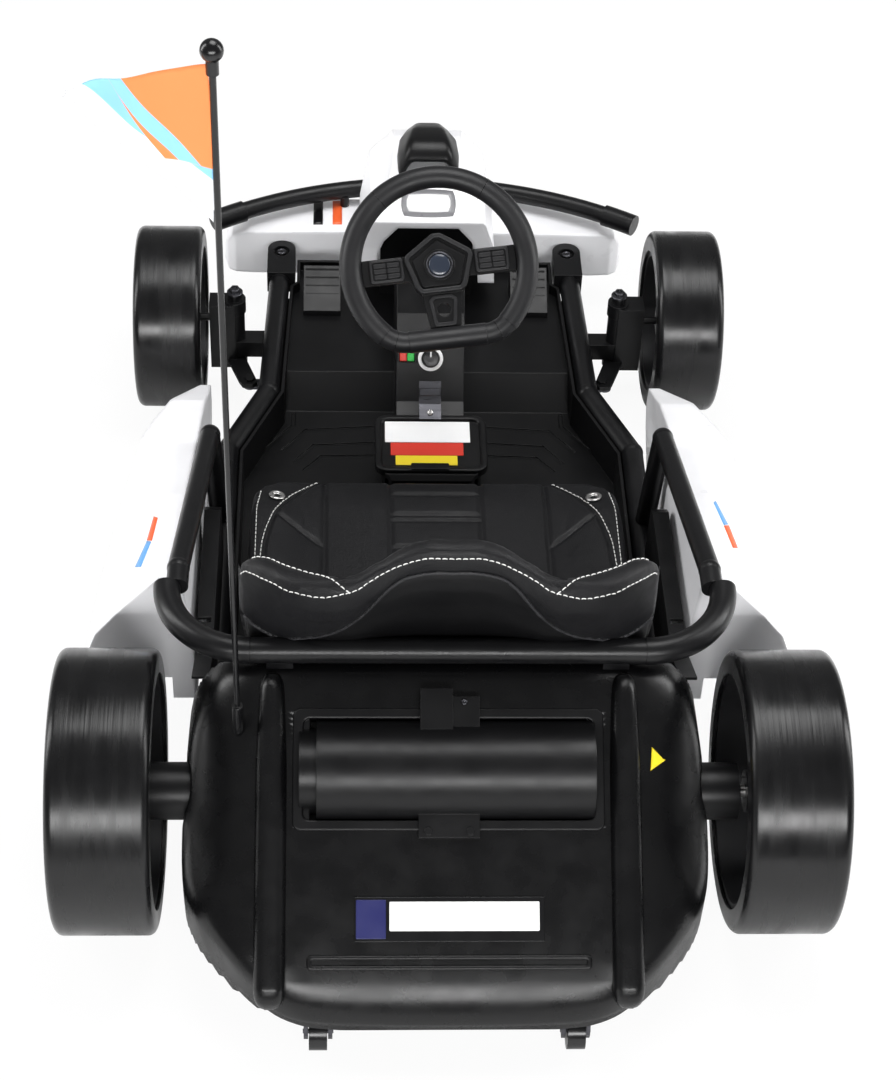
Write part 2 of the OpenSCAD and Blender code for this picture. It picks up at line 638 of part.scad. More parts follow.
// Rim of the steering wheel: a ring with a straight lower side and round corners
module steering_rim() on_floor() color("#161618") steering() rotate([0, 0, wheel_turn]) {
    r = (wheel_d - wheel_rim_d) / 2;
    corner = [(r - corner_r) * cos(corner_a), -(r - corner_r) * sin(corner_a)];
    rotate([0, 0, -corner_a - lap]) rotate_extrude(angle = 180 + 2 * (corner_a + lap)) translate([r, 0])
        circle(d = wheel_rim_d);
    pair() translate(corner) rotate([0, 0, -90]) rotate_extrude(angle = 90 - corner_a) translate([corner_r, 0])
        circle(d = wheel_rim_d - bead);
    bar([-corner.x - lap, corner.y - corner_r, 0], [corner.x + lap, corner.y - corner_r, 0], wheel_rim_d);
}

// Hub and spokes: a five-sided boss with a round cap, two button pads and a broad lower spoke
module steering_hub() on_floor() color("#1c1c1e") steering() rotate([0, 0, wheel_turn]) {
    r = (wheel_d - wheel_rim_d) / 2;
    low_y = -(r - corner_r) * sin(corner_a) - corner_r;
    difference() {
        union() {
            translate([0, 0, -12]) linear_extrude(height = 14) polygon([[-30, -26], [-24, -32], [24, -32], [30, -26],
                [41, 8], [38, 16], [5, 38], [-5, 38], [-38, 16], [-41, 8]]);
            linear_extrude(height = 6) polygon([[-22, -24], [22, -24], [31, 8], [0, 29], [-31, 8]]);
            for (s = [-1, 1]) translate([s * 66, 0, -6]) cube([72, 30, 9], center = true);
            translate([0, 0, -10]) linear_extrude(height = 9) polygon([[-24, -28], [-16, low_y], [16, low_y], [24, -28]]);
        }
        difference() {
            rotate_extrude() translate([r, 0]) circle(d = wheel_rim_d + 2 * seat_gap);
            translate([-r, -2 * r + low_y + 14, -20]) cube([2 * r, 2 * r, 40]);
        }
        bar([-r, low_y, 0], [r, low_y, 0], wheel_rim_d + 2 * seat_gap);
        translate([0, -52, -20]) cylinder(h = 40, r = 8);
    }
    translate([0, 0, 3]) cylinder(h = 6, r = 18);
    translate([0, 0, -30 + seat_gap]) cylinder(h = 20, r = column_r + 4);
    for (s = [-1, 1]) translate([s * 62, 0, 0]) cube([34, 22, 7], center = true);
}

// Steering knuckle: a tall block that clasps the sleeve, its kingpin, stub axle and arm
module knuckle(s) {
    translate([s * kingpin_x, wheelbase, 0]) {
        cylinder_z = 40;
        translate([0, 0, sleeve_low - seat_gap - lug_t]) cylinder(h = knuckle_top + 8 - sleeve_low + lug_t, r = kingpin_r);
        translate([0, 0, sleeve_low - seat_gap - lug_t]) cylinder(h = lug_t, r = sleeve_r + 2);
        translate([0, 0, sleeve_high + seat_gap]) cylinder(h = knuckle_top - sleeve_high, r = sleeve_r + 2);
        translate([0, 0, knuckle_top]) cylinder(h = 10, r = 9);
        difference() {
            translate([min(0, s * 34), -15, sleeve_low - seat_gap - lug_t])
                cube([34, 30, knuckle_top - 2 - sleeve_low + lug_t]);
            translate([0, 0, sleeve_low - seat_gap]) cylinder(h = sleeve_high - sleeve_low + 2 * seat_gap, r = sleeve_r + 2);
        }
        end_x = front_x - kingpin_x + front_tyre_w / 2 - hub_inset + seat_gap;
        bar([s * 20, 0, front_z], [s * end_x, 0, front_z], 2 * stub_r);
        translate([s * end_x, 0, front_z]) rotate([0, s * 90, 0]) cylinder(h = 7, r = stub_r + 4, $fn = 6);
    }
    difference() {
        translate([0, 0, arm_z]) linear_extrude(height = arm_t) polygon([
            [s * (kingpin_x + 13), wheelbase - 10], [s * (kingpin_x - 10), wheelbase - 6],
            [s * (arm_pin_x - 10), arm_pin_y - 4], [s * (arm_pin_x - 4), arm_pin_y - 11],
            [s * (arm_pin_x + 9), arm_pin_y - 11], [s * (arm_pin_x + 14), arm_pin_y - 2]]);
        translate([s * kingpin_x, wheelbase, sleeve_low - seat_gap]) cylinder(h = 40, r = sleeve_r + 2);
    }
    translate([s * arm_pin_x, arm_pin_y, tie_z - 1]) cylinder(h = arm_z + arm_t + 5 - tie_z, r = pin_r);
    translate([s * arm_pin_x, arm_pin_y, arm_z + arm_t - bite]) cylinder(h = 5, r = 7, $fn = 6);
}
module knuckle_left() on_floor() color("#161618") knuckle(-1);
module knuckle_right() on_floor() color("#161618") knuckle(1);

// Flat tie bar: a round eye at the left, a slot at the right, and a fork for the column's ball
module tie_bar() on_floor() color("#2a2a2c") {
    ball_y = wheel_y + crank_s * cos(column_tilt) - crank_r * sin(column_tilt);
    slot = 4;
    translate([0, 0, tie_z]) linear_extrude(height = tie_t) difference() {
        union() {
            translate([-arm_pin_x, arm_pin_y - 8]) square([2 * arm_pin_x, 16]);
            for (x = [-arm_pin_x, arm_pin_x + slot, arm_pin_x - slot]) translate([x, arm_pin_y]) circle(r = 9);
            polygon([[-30, arm_pin_y], [30, arm_pin_y], [18, ball_y - 8], [18, ball_y + 12], [-18, ball_y + 12],
                [-18, ball_y - 8]]);
        }
        translate([-arm_pin_x, arm_pin_y]) circle(r = pin_r + run_gap);
        for (x = [arm_pin_x - slot, arm_pin_x + slot]) translate([x, arm_pin_y]) circle(r = pin_r + 0.5);
        translate([arm_pin_x - slot, arm_pin_y - pin_r - 0.5]) square([2 * slot, 2 * pin_r + 1]);
        translate([-ball_r - fork_gap, ball_y - 12]) square([2 * (ball_r + fork_gap), 40]);
    }
}

// Smooth drift tyre with rounded shoulders, its axis along X
module tyre(r, w) rotate([0, 90, 0]) rotate_extrude() {
    translate([r - tyre_t, -w / 2 + shoulder_r]) square([tyre_t, w - 2 * shoulder_r]);
    translate([r - tyre_t, -w / 2]) square([tyre_t - shoulder_r, w]);
    for (s = [-1, 1]) translate([r - shoulder_r, s * (w / 2 - shoulder_r)]) circle(r = shoulder_r);
}

// Wheel with a deep barrel, five spokes set towards the outer side, and a hub; side is the outer side
module rim(r, w, bore_r, hub_in, side) rotate([0, 90, 0]) {
    out = side * w / 2;
    difference() {
        union() {
            rotate_extrude() translate([r - 6, -w / 2 + 4]) square([6 - 0.2, w - 8]);
            translate([0, 0, side * (w / 2 - 20) - 5]) for (k = [0:4]) rotate([0, 0, 72 * k])
                translate([0, -11, 0]) cube([r - 3, 22, 10]);
            translate([0, 0, min(out - side * hub_inset, -side * hub_in)])
                cylinder(h = w / 2 - hub_inset + hub_in, r = bore_r + 16);
        }
        translate([0, 0, -w]) cylinder(h = 2 * w, r = bore_r + run_gap);
    }
}

module front_wheel_at(s) translate([s * front_x, wheelbase, front_z]) children();
module rear_wheel_at(s) translate([s * rear_x, 0, rear_z]) children();
module front_tyre_left() on_floor() color("#161618") front_wheel_at(-1) tyre(front_tyre_r, front_tyre_w);
module front_tyre_right() on_floor() color("#161618") front_wheel_at(1) tyre(front_tyre_r, front_tyre_w);
module rear_tyre_left() on_floor() color("#161618") rear_wheel_at(-1) tyre(rear_tyre_r, rear_tyre_w);
module rear_tyre_right() on_floor() color("#161618") rear_wheel_at(1) tyre(rear_tyre_r, rear_tyre_w);
module front_rim_left() on_floor() color("#3a3a3d")
    front_wheel_at(-1) rim(front_tyre_r - tyre_t, front_tyre_w, stub_r, 30, -1);
module front_rim_right() on_floor() color("#3a3a3d")
    front_wheel_at(1) rim(front_tyre_r - tyre_t, front_tyre_w, stub_r, 30, 1);
module rear_rim_left() on_floor() color("#3a3a3d")
    rear_wheel_at(-1) rim(rear_tyre_r - tyre_t, rear_tyre_w, axle_r, 36, -1);
module rear_rim_right() on_floor() color("#3a3a3d")
    rear_wheel_at(1) rim(rear_tyre_r - tyre_t, rear_tyre_w, axle_r, 36, 1);

// Caster: a stem through the bar, a fork that swivels, and a small wheel on its pin
module caster_fork(s) translate([s * caster_x, -205, 0]) {
    top = rail_z - 20 - seat_gap;
    axle = caster_r + caster_lift;
    cylinder_top = rail_z - 11;
    difference() {
        union() {
            translate([0, 0, top - 10]) cylinder(h = 10, r = 15);
            across(30, [[12, top - 8], [-12, top - 8], [-caster_trail - 8, axle + 2], [-caster_trail - 6, axle - 6],
                [-caster_trail + 6, axle - 6], [-caster_trail + 10, axle + 8]]);
        }
        translate([-caster_w / 2 - 1, -60, -60]) cube([caster_w + 2, 120, axle + caster_r + 4 + 60]);
    }
    translate([0, 0, top - 4]) cylinder(h = cylinder_top - top + 8, r = 4);
    translate([0, 0, cylinder_top + seat_gap]) cylinder(h = 4, r = 8);
    bar([-16, -caster_trail, axle], [16, -caster_trail, axle], 5);
}
module caster_wheel(s) translate([s * caster_x, -205 - caster_trail, caster_r + caster_lift]) rotate([0, 90, 0])
    difference() {
        cylinder(h = caster_w, r = caster_r, center = true);
        cylinder(h = 60, r = 2.5 + run_gap, center = true);
    }
module caster_fork_left() on_floor() color("#161618") caster_fork(-1);
module caster_fork_right() on_floor() color("#161618") caster_fork(1);
module caster_wheel_left() on_floor() color("#101012") caster_wheel(-1);
module caster_wheel_right() on_floor() color("#101012") caster_wheel(1);

floor_pan();
side_rails();
front_beam();
front_bumper();
bumper_bar();
nose_fairing();
nose_scoop();
console();
console_box();
controls();
pedals();
seat_base();
seat_cushion();
seat_back();
battery();
side_pods();
side_panels();
side_arms();
rear_hoop();
rear_cover();
cover_drum();
number_plate();
rear_axle();
gearboxes();
rear_subframe();
flag_pole();
flag();
steering_column();
steering_rim();
steering_hub();
knuckle_left();
knuckle_right();
tie_bar();
front_tyre_left();
front_rim_left();
front_tyre_right();
front_rim_right();
rear_tyre_left();
rear_rim_left();
rear_tyre_right();
rear_rim_right();
caster_fork_left();
caster_wheel_left();
caster_fork_right();
caster_wheel_right();
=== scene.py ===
"""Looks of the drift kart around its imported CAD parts. Lengths are in metres unless a name ends in _mm."""
import json
from math import atan, atan2, copysign, cos, exp, hypot, pi, radians, sin, sqrt

import bmesh
import bpy
from mathutils import Matrix, Vector
from mathutils.bvhtree import BVHTree


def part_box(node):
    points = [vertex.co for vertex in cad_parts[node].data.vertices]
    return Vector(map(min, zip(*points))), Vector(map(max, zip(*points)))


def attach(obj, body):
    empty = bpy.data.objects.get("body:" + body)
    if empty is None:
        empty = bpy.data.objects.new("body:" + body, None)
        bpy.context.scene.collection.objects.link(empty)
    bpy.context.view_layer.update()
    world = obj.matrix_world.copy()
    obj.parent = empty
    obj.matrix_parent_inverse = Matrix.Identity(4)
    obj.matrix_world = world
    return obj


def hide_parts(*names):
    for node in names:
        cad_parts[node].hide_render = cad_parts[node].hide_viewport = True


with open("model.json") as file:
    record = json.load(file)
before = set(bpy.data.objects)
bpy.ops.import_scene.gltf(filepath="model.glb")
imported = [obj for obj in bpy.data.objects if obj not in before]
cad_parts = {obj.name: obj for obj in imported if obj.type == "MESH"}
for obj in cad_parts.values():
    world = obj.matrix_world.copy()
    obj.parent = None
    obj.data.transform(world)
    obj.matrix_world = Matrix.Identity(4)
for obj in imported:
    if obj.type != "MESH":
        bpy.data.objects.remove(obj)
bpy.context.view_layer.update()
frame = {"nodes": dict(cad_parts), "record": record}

# The rear axle's place in the frame: the pieces below are laid out in millimetres from it
axle_low, axle_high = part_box("rear_axle")
AXLE_Y = (axle_low[1] + axle_high[1]) / 2

# The photograph's camera
CAMERA_LENS_MM = 80.47
CAMERA_PLACE_MM = (-116.16, -1655.78, 2170.96)
CAMERA_YAW = -0.0637
CAMERA_PITCH = 0.779
CAMERA_ROLL = -0.0497


def at(x_mm, y_mm, z_mm):
    """Point of the frame, from millimetres right of, ahead of and above the floor under the rear axle."""
    return Vector((x_mm / 1000, y_mm / 1000 + AXLE_Y, z_mm / 1000))


def smooth(a, b, t):
    """0 before a, 1 after b, and a soft step between."""
    t = min(1, max(0, (t - a) / (b - a)))
    return t * t * (3 - 2 * t)


def curve_through(points, t):
    """Value at t of the smooth curve through (t, value) points, flat at its ends."""
    points = sorted(points)
    if t <= points[0][0]:
        return points[0][1]
    for (t0, v0), (t1, v1) in zip(points, points[1:]):
        if t <= t1:
            break
    else:
        return points[-1][1]
    i = points.index((t0, v0))
    before = points[max(0, i - 1)]
    after = points[min(len(points) - 1, i + 2)]
    m0 = (v1 - before[1]) / (t1 - before[0]) * (t1 - t0)
    m1 = (after[1] - v0) / (after[0] - t0) * (t1 - t0)
    u = (t - t0) / (t1 - t0)
    return ((2 * u**3 - 3 * u**2 + 1) * v0 + (u**3 - 2 * u**2 + u) * m0
            + (3 * u**2 - 2 * u**3) * v1 + (u**3 - u**2) * m1)


# Camera, floor and light

def turned(yaw, pitch, roll):
    """The camera's axes as a rotation matrix: right, up and back are its columns."""
    ahead = Vector((-sin(yaw) * cos(pitch), cos(yaw) * cos(pitch), -sin(pitch)))
    right = Vector((cos(yaw), sin(yaw), 0))
    down = ahead.cross(right)
    c, s = cos(roll), sin(roll)
    right, down = c * right + s * down, -s * right + c * down
    return Matrix((right, -down, -ahead)).transposed()


def make_camera():
    data = bpy.data.cameras.new("camera")
    data.sensor_fit = "VERTICAL"
    data.sensor_height = 36
    data.lens = CAMERA_LENS_MM
    data.clip_end = 100
    camera = bpy.data.objects.new("camera", data)
    camera.matrix_world = Matrix.Translation(at(*CAMERA_PLACE_MM)) @ turned(
        CAMERA_YAW, CAMERA_PITCH, CAMERA_ROLL).to_4x4()
    bpy.context.collection.objects.link(camera)
    bpy.context.scene.camera = camera


def seen_white(nodes, links, lit, strength):
    """Mixes a shader with plain white for what the camera and glass see."""
    path = nodes.new("ShaderNodeLightPath")
    seen = nodes.new("ShaderNodeMath")
    seen.operation = "MAXIMUM"
    links.new(path.outputs["Is Camera Ray"], seen.inputs[0])
    links.new(path.outputs["Is Transmission Ray"], seen.inputs[1])
    share = nodes.new("ShaderNodeMath")
    share.operation = "MULTIPLY"
    share.inputs[1].default_value = strength
    links.new(seen.outputs[0], share.inputs[0])
    is_world = lit.bl_idname == "ShaderNodeBackground"
    white = nodes.new("ShaderNodeBackground" if is_world else "ShaderNodeEmission")
    white.inputs["Color"].default_value = (1, 1, 1, 1)
    mix = nodes.new("ShaderNodeMixShader")
    links.new(share.outputs[0], mix.inputs["Fac"])
    links.new(lit.outputs[0], mix.inputs[1])
    links.new(white.outputs[0], mix.inputs[2])
    return mix


def make_floor():
    material = bpy.data.materials.new("studio_floor")
    material.use_nodes = True
    nodes, links = material.node_tree.nodes, material.node_tree.links
    nodes.clear()
    out = nodes.new("ShaderNodeOutputMaterial")
    paint = nodes.new("ShaderNodeBsdfDiffuse")
    paint.inputs["Color"].default_value = (0.92, 0.92, 0.92, 1)
    links.new(seen_white(nodes, links, paint, 0.93).outputs[0], out.inputs["Surface"])
    mesh = bpy.data.meshes.new("floor")
    mesh.from_pydata([(-30, -30, 0), (30, -30, 0), (30, 30, 0), (-30, 30, 0)], [], [(0, 1, 2, 3)])
    mesh.materials.append(material)
    floor = bpy.data.objects.new("floor", mesh)
    bpy.context.collection.objects.link(floor)


def area_light(name, place, aim, size, power, size_y=None):
    data = bpy.data.lights.new(name, "AREA")
    data.energy = power
    data.shape = "RECTANGLE" if size_y else "SQUARE"
    data.size = size
    if size_y:
        data.size_y = size_y
    light = bpy.data.objects.new(name, data)
    light.location = place
    light.rotation_euler = (Vector(aim) - Vector(place)).to_track_quat("-Z", "Y").to_euler()
    bpy.context.collection.objects.link(light)


def make_lights():
    world = bpy.context.scene.world or bpy.data.worlds.new("studio")
    bpy.context.scene.world = world
    world.use_nodes = True
    nodes, links = world.node_tree.nodes, world.node_tree.links
    nodes.clear()
    out = nodes.new("ShaderNodeOutputWorld")
    light = nodes.new("ShaderNodeBackground")
    light.inputs["Color"].default_value = (1, 1, 1, 1)
    light.inputs["Strength"].default_value = 0.25
    links.new(seen_white(nodes, links, light, 1).outputs[0], out.inputs["Surface"])
    area_light("key_above", (0.2, 0.5, 3.2), (0, 0, 0.2), 1.6, 58)
    area_light("strip_left", (-2.6, 0.2, 1.7), (0, -0.1, 0.2), 0.7, 50, 2.6)
    area_light("strip_right", (2.6, 0.2, 1.7), (0, -0.1, 0.2), 0.7, 50, 2.6)
    area_light("behind", (0, -3.0, 1.5), (0, -0.3, 0.2), 2.6, 84, 0.6)


# Materials

class Shader:
    """A material's node tree with short names for the nodes that the finishes share."""

    def __init__(self, name, color, rough, **sockets):
        self.material = bpy.data.materials.new(name)
        self.material.use_nodes = True
        self.nodes = self.material.node_tree.nodes
        self.links = self.material.node_tree.links
        self.bsdf = self.nodes["Principled BSDF"]
        self.bsdf.inputs["Base Color"].default_value = (*color, 1)
        self.bsdf.inputs["Roughness"].default_value = rough
        for key, value in sockets.items():
            self.bsdf.inputs[key.replace("_", " ")].default_value = value
        self.color = color
        self.normal = None

    def place(self, stretch=(1, 1, 1)):
        coords = self.nodes.new("ShaderNodeTexCoord")
        mapping = self.nodes.new("ShaderNodeMapping")
        mapping.inputs["Scale"].default_value = stretch
        self.links.new(coords.outputs["Object"], mapping.inputs["Vector"])
        return mapping.outputs["Vector"]

    def noise(self, scale, detail=3, stretch=(1, 1, 1)):
        node = self.nodes.new("ShaderNodeTexNoise")
        node.inputs["Scale"].default_value = scale
        node.inputs["Detail"].default_value = detail
        self.links.new(self.place(stretch), node.inputs["Vector"])
        return node.outputs["Fac"]

    def cells(self, scale):
        node = self.nodes.new("ShaderNodeTexVoronoi")
        node.feature = "DISTANCE_TO_EDGE"
        node.inputs["Scale"].default_value = scale
        self.links.new(self.place(), node.inputs["Vector"])
        return node.outputs["Distance"]

    def ranged(self, value, low, high, start=0.3, end=0.7):
        node = self.nodes.new("ShaderNodeMapRange")
        node.inputs["From Min"].default_value = start
        node.inputs["From Max"].default_value = end
        node.inputs["To Min"].default_value = low
        node.inputs["To Max"].default_value = high
        self.links.new(value, node.inputs["Value"])
        return node.outputs["Result"]

    def number(self, operation, first, second):
        """Result of a sum on two values, each a number or another node's output."""
        node = self.nodes.new("ShaderNodeMath")
        node.operation = operation
        for socket, value in zip(node.inputs, (first, second)):
            if isinstance(value, (int, float)):
                socket.default_value = value
            else:
                self.links.new(value, socket)
        return node.outputs[0]

    def blend(self, share, low, high):
        """Colour that goes from low, a colour or a node's output, to high as share goes from 0 to 1."""
        node = self.nodes.new("ShaderNodeMix")
        node.data_type = "RGBA"
        if isinstance(low, tuple):
            node.inputs["A"].default_value = (*low, 1)
        else:
            self.links.new(low, node.inputs["A"])
        node.inputs["B"].default_value = (*high, 1)
        self.links.new(share, node.inputs["Factor"])
        return node.outputs["Result"]

    def paint(self, color):
        self.links.new(color, self.bsdf.inputs["Base Color"])

    def roughen(self, value):
        self.links.new(value, self.bsdf.inputs["Roughness"])

    def soft_edges(self, radius):
        """Rounds the look of the CAD's sharp edges."""
        node = self.nodes.new("ShaderNodeBevel")
        node.samples = 4
        node.inputs["Radius"].default_value = radius
        self.normal = node.outputs["Normal"]
        self.links.new(self.normal, self.bsdf.inputs["Normal"])

    def bump(self, height, distance, strength=1.0):
        node = self.nodes.new("ShaderNodeBump")
        node.inputs["Distance"].default_value = distance
        node.inputs["Strength"].default_value = strength
        self.links.new(height, node.inputs["Height"])
        if self.normal:
            self.links.new(self.normal, node.inputs["Normal"])
        self.normal = node.outputs["Normal"]
        self.links.new(self.normal, self.bsdf.inputs["Normal"])


def moulded(name, color, rough, grain=0.00012, grain_scale=1500, edge=0.0015, **sockets):
    """Moulded plastic: fine grain, cloudy gloss and soft edges."""
    s = Shader(name, color, rough, **sockets)
    s.soft_edges(edge)
    s.bump(s.noise(grain_scale, 2), grain, 0.6)
    s.bump(s.noise(14, 2), 0.0004, 0.2)
    s.roughen(s.ranged(s.noise(30, 4), rough - 0.05, rough + 0.06))
    lighter = tuple(min(1, c * 1.12 + 0.0002) for c in color)
    s.paint(s.blend(s.ranged(s.noise(9, 3), 0, 1), color, lighter))
    return s.material


def painted_tube(name, color, rough, **sockets):
    """Powder coated steel: slight orange peel."""
    s = Shader(name, color, rough, **sockets)
    s.soft_edges(0.001)
    s.bump(s.noise(420, 2), 0.00025, 0.5)
    s.roughen(s.ranged(s.noise(24, 3), rough - 0.05, rough + 0.08))
    s.paint(s.blend(s.ranged(s.noise(60, 4), 0, 1), color, tuple(c * 1.3 for c in color)))
    return s.material


def metal(name, color, rough):
    s = Shader(name, color, rough, Metallic=1.0)
    s.soft_edges(0.0006)
    s.bump(s.noise(500, 2, (1, 1, 1)), 0.0001, 0.4)
    s.roughen(s.ranged(s.noise(90, 4, (0.2, 3, 3)), rough - 0.08, rough + 0.1))
    s.paint(s.blend(s.ranged(s.noise(20, 4), 0, 1), color, tuple(c * 0.8 for c in color)))
    return s.material


def drift_tyre():
    """Hard smooth tyre: fine turning marks round it and scuffs across the tread."""
    s = Shader("drift_tyre", (0.003, 0.003, 0.0033), 0.24, Specular_IOR_Level=0.33)
    s.soft_edges(0.002)
    s.bump(s.noise(5, 3, (60, 0.6, 0.6)), 0.0004, 0.35)
    s.bump(s.noise(900, 2), 0.00008, 0.4)
    s.roughen(s.ranged(s.noise(7, 6, (7, 1, 1)), 0.16, 0.34))
    s.paint(s.blend(s.ranged(s.noise(30, 5), 0, 1), (0.0025, 0.0025, 0.0028), (0.0055, 0.0055, 0.006)))
    return s.material


def leather(name, color, rough=0.42):
    """Soft leatherette: pebbled grain, faint creases and a sheen."""
    s = Shader(name, color, rough, Sheen_Weight=0.02, Sheen_Roughness=0.4, Specular_IOR_Level=0.26)
    s.bump(s.ranged(s.cells(420), 0, 1, 0, 0.12), 0.00022, 0.55)
    s.bump(s.noise(38, 4), 0.0008, 0.35)
    s.roughen(s.ranged(s.noise(55, 4), rough - 0.07, rough + 0.1))
    s.paint(s.blend(s.ranged(s.noise(12, 3), 0, 1), color, tuple(c * 1.35 for c in color)))
    return s.material


# Every finish by its name, filled by make_finishes
FINISHES = {}


def make_finishes():
    FINISHES.update({
        "black_plastic": moulded("black_plastic", (0.0038, 0.0038, 0.0042), 0.34, Specular_IOR_Level=0.25),
        "black_shell": moulded("black_shell", (0.0026, 0.0026, 0.0029), 0.27, edge=0.002,
                               Specular_IOR_Level=0.28),
        "gloss_black": moulded("gloss_black", (0.004, 0.004, 0.0045), 0.2, grain=0.00004,
                               Specular_IOR_Level=0.4),
        "soft_black": moulded("soft_black", (0.008, 0.008, 0.009), 0.42, grain=0.00025, grain_scale=900,
                              Specular_IOR_Level=0.34),
        "white_plastic": moulded("white_plastic", (0.84, 0.84, 0.86), 0.32, grain=0.00004, edge=0.007),
        "frame_paint": painted_tube("frame_paint", (0.004, 0.004, 0.0045), 0.32, Specular_IOR_Level=0.3),
        "bare_steel": metal("bare_steel", (0.62, 0.61, 0.6), 0.3),
        "dark_steel": metal("dark_steel", (0.09, 0.09, 0.1), 0.34),
        "drift_tyre": drift_tyre(),
        "rim_plastic": moulded("rim_plastic", (0.008, 0.008, 0.009), 0.42, Specular_IOR_Level=0.3),
        "seat_leather": leather("seat_leather", (0.0028, 0.0028, 0.0036)),
        "white_label": moulded("white_label", (0.86, 0.86, 0.86), 0.38, grain=0.00002),
        "thread": moulded("thread", (0.72, 0.72, 0.7), 0.7, edge=0.0002),
        # The piping's leather is lighter than the seat's: a painted highlight along the leather's edge.
        "piping": leather("piping", (0.02, 0.02, 0.022), 0.34),
        "red_vinyl": moulded("red_vinyl", (0.62, 0.035, 0.02), 0.35, grain=0.00002),
        "orange_vinyl": moulded("orange_vinyl", (0.8, 0.12, 0.03), 0.35, grain=0.00002),
        "yellow_vinyl": moulded("yellow_vinyl", (0.8, 0.62, 0.02), 0.35, grain=0.00002),
        "blue_vinyl": moulded("blue_vinyl", (0.007, 0.009, 0.08), 0.35, grain=0.00002),
        "sky_vinyl": moulded("sky_vinyl", (0.13, 0.36, 0.72), 0.35, grain=0.00002),
        "grey_vinyl": moulded("grey_vinyl", (0.2, 0.2, 0.21), 0.3, grain=0.00002),
        "green_plastic": moulded("green_plastic", (0.02, 0.45, 0.06), 0.35),
        "slate_gloss": moulded("slate_gloss", (0.02, 0.026, 0.04), 0.16, grain=0.00002),
        "flag_fabric": flag_fabric(),
    })


# Nodes whose look is not that of their slot
SPECIAL_FINISH = {"rear_cover": "black_shell", "number_plate": "gloss_black"}


def dress_nodes():
    """Gives each CAD node the finish of its slot in the record."""
    slots = {part["node"]: part["material_slot"] for part in frame["record"]["subparts"]}
    for name, node in frame["nodes"].items():
        material = FINISHES[SPECIAL_FINISH.get(name, slots[name])] if name != "flag" else None
        if material is None:
            continue
        node.data.materials.clear()
        node.data.materials.append(material)


# Mesh making

def add_piece(name, made, finish, body="chassis", flat=False):
    """Piece from (vertices, faces) with a finish, riding on a body."""
    mesh = bpy.data.meshes.new(name)
    mesh.from_pydata([tuple(v) for v in made[0]], [], made[1])
    mesh.validate()
    mesh.materials.append(FINISHES[finish])
    if not flat:
        mesh.shade_smooth()
    piece = bpy.data.objects.new(name, mesh)
    bpy.context.collection.objects.link(piece)
    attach(piece, body)
    return piece


def outward(piece):
    """Turns all faces of a closed piece outwards."""
    work = bmesh.new()
    work.from_mesh(piece.data)
    bmesh.ops.recalc_face_normals(work, faces=work.faces)
    work.to_mesh(piece.data)
    work.free()


def loft(rings, closed=True, capped=True):
    """Vertices and faces of the skin over rings of equally many points."""
    count = len(rings[0])
    vertices = [p for ring in rings for p in ring]
    faces = []
    for i in range(len(rings) - 1):
        for k in range(count if closed else count - 1):
            m = (k + 1) % count
            faces.append((i * count + k, i * count + m, (i + 1) * count + m, (i + 1) * count + k))
    if capped and closed:
        faces.append(tuple(range(count))[::-1])
        faces.append(tuple((len(rings) - 1) * count + k for k in range(count)))
    return vertices, faces


def smooth_path(points, per_span=6):
    """Points along a smooth open curve through the given ones."""
    points = [Vector(p) for p in points]
    padded = [2 * points[0] - points[1]] + points + [2 * points[-1] - points[-2]]
    path = []
    for i in range(len(points) - 1):
        p0, p1, p2, p3 = padded[i:i + 4]
        for k in range(per_span):
            t = k / per_span
            path.append(0.5 * ((2 * p1) + (p2 - p0) * t + (2 * p0 - 5 * p1 + 4 * p2 - p3) * t * t
                               + (3 * p1 - p0 - 3 * p2 + p3) * t**3))
    return path + [points[-1]]


def tube(path, radius, sides=10):
    """Round skin along a path of points."""
    rings = []
    side = None
    for i, p in enumerate(path):
        ahead = (path[min(i + 1, len(path) - 1)] - path[max(i - 1, 0)]).normalized()
        if side is None:
            side = ahead.orthogonal().normalized()
        side = (side - ahead * side.dot(ahead)).normalized()
        other = ahead.cross(side)
        rings.append([p + radius * (cos(a) * side + sin(a) * other)
                      for a in (2 * pi * k / sides for k in range(sides))])
    return loft(rings)


def joined(parts):
    """One vertex and face list from several."""
    vertices, faces = [], []
    for v, f in parts:
        base = len(vertices)
        vertices += v
        faces += [tuple(base + i for i in face) for face in f]
    return vertices, faces


def walk(path, step):
    """Points a step apart along a path, with the direction there."""
    out, carry = [], 0.0
    for a, b in zip(path, path[1:]):
        length = (b - a).length
        if length == 0:
            continue
        d = carry
        while d < length:
            out.append((a.lerp(b, d / length), (b - a).normalized()))
            d += step
        carry = d - length
    return out


def stitches(path, up, length=0.0046, gap=0.0022, radius=0.0006):
    """Short thread dashes along a path; up is the way out of the cloth."""
    parts = []
    for p, ahead in walk(path, length + gap):
        a, b = p - ahead * length / 2, p + ahead * length / 2
        middle = p + up * radius * 0.9
        sink = up * radius * 0.5
        parts.append(tube([a - sink, a.lerp(middle, 0.5) + up * radius * 0.3, middle,
                           b.lerp(middle, 0.5) + up * radius * 0.3, b - sink], radius, 6))
    return joined(parts)


# Seat

BACK_TOP_MM = [(0, 480), (28, 479), (50, 470), (74, 454), (100, 438), (130, 431), (165, 427), (190, 420),
               (208, 409),
               (220, 394)]
BACK_FRONT_MM = [(0, 63), (40, 65), (74, 58), (100, 53), (130, 62), (165, 80), (195, 103), (220, 108)]
BACK_REAR_MM = [(0, 34), (40, 36), (74, 36), (100, 30), (130, 30), (165, 42), (195, 68), (220, 98)]
BACK_HALF_MM = 221


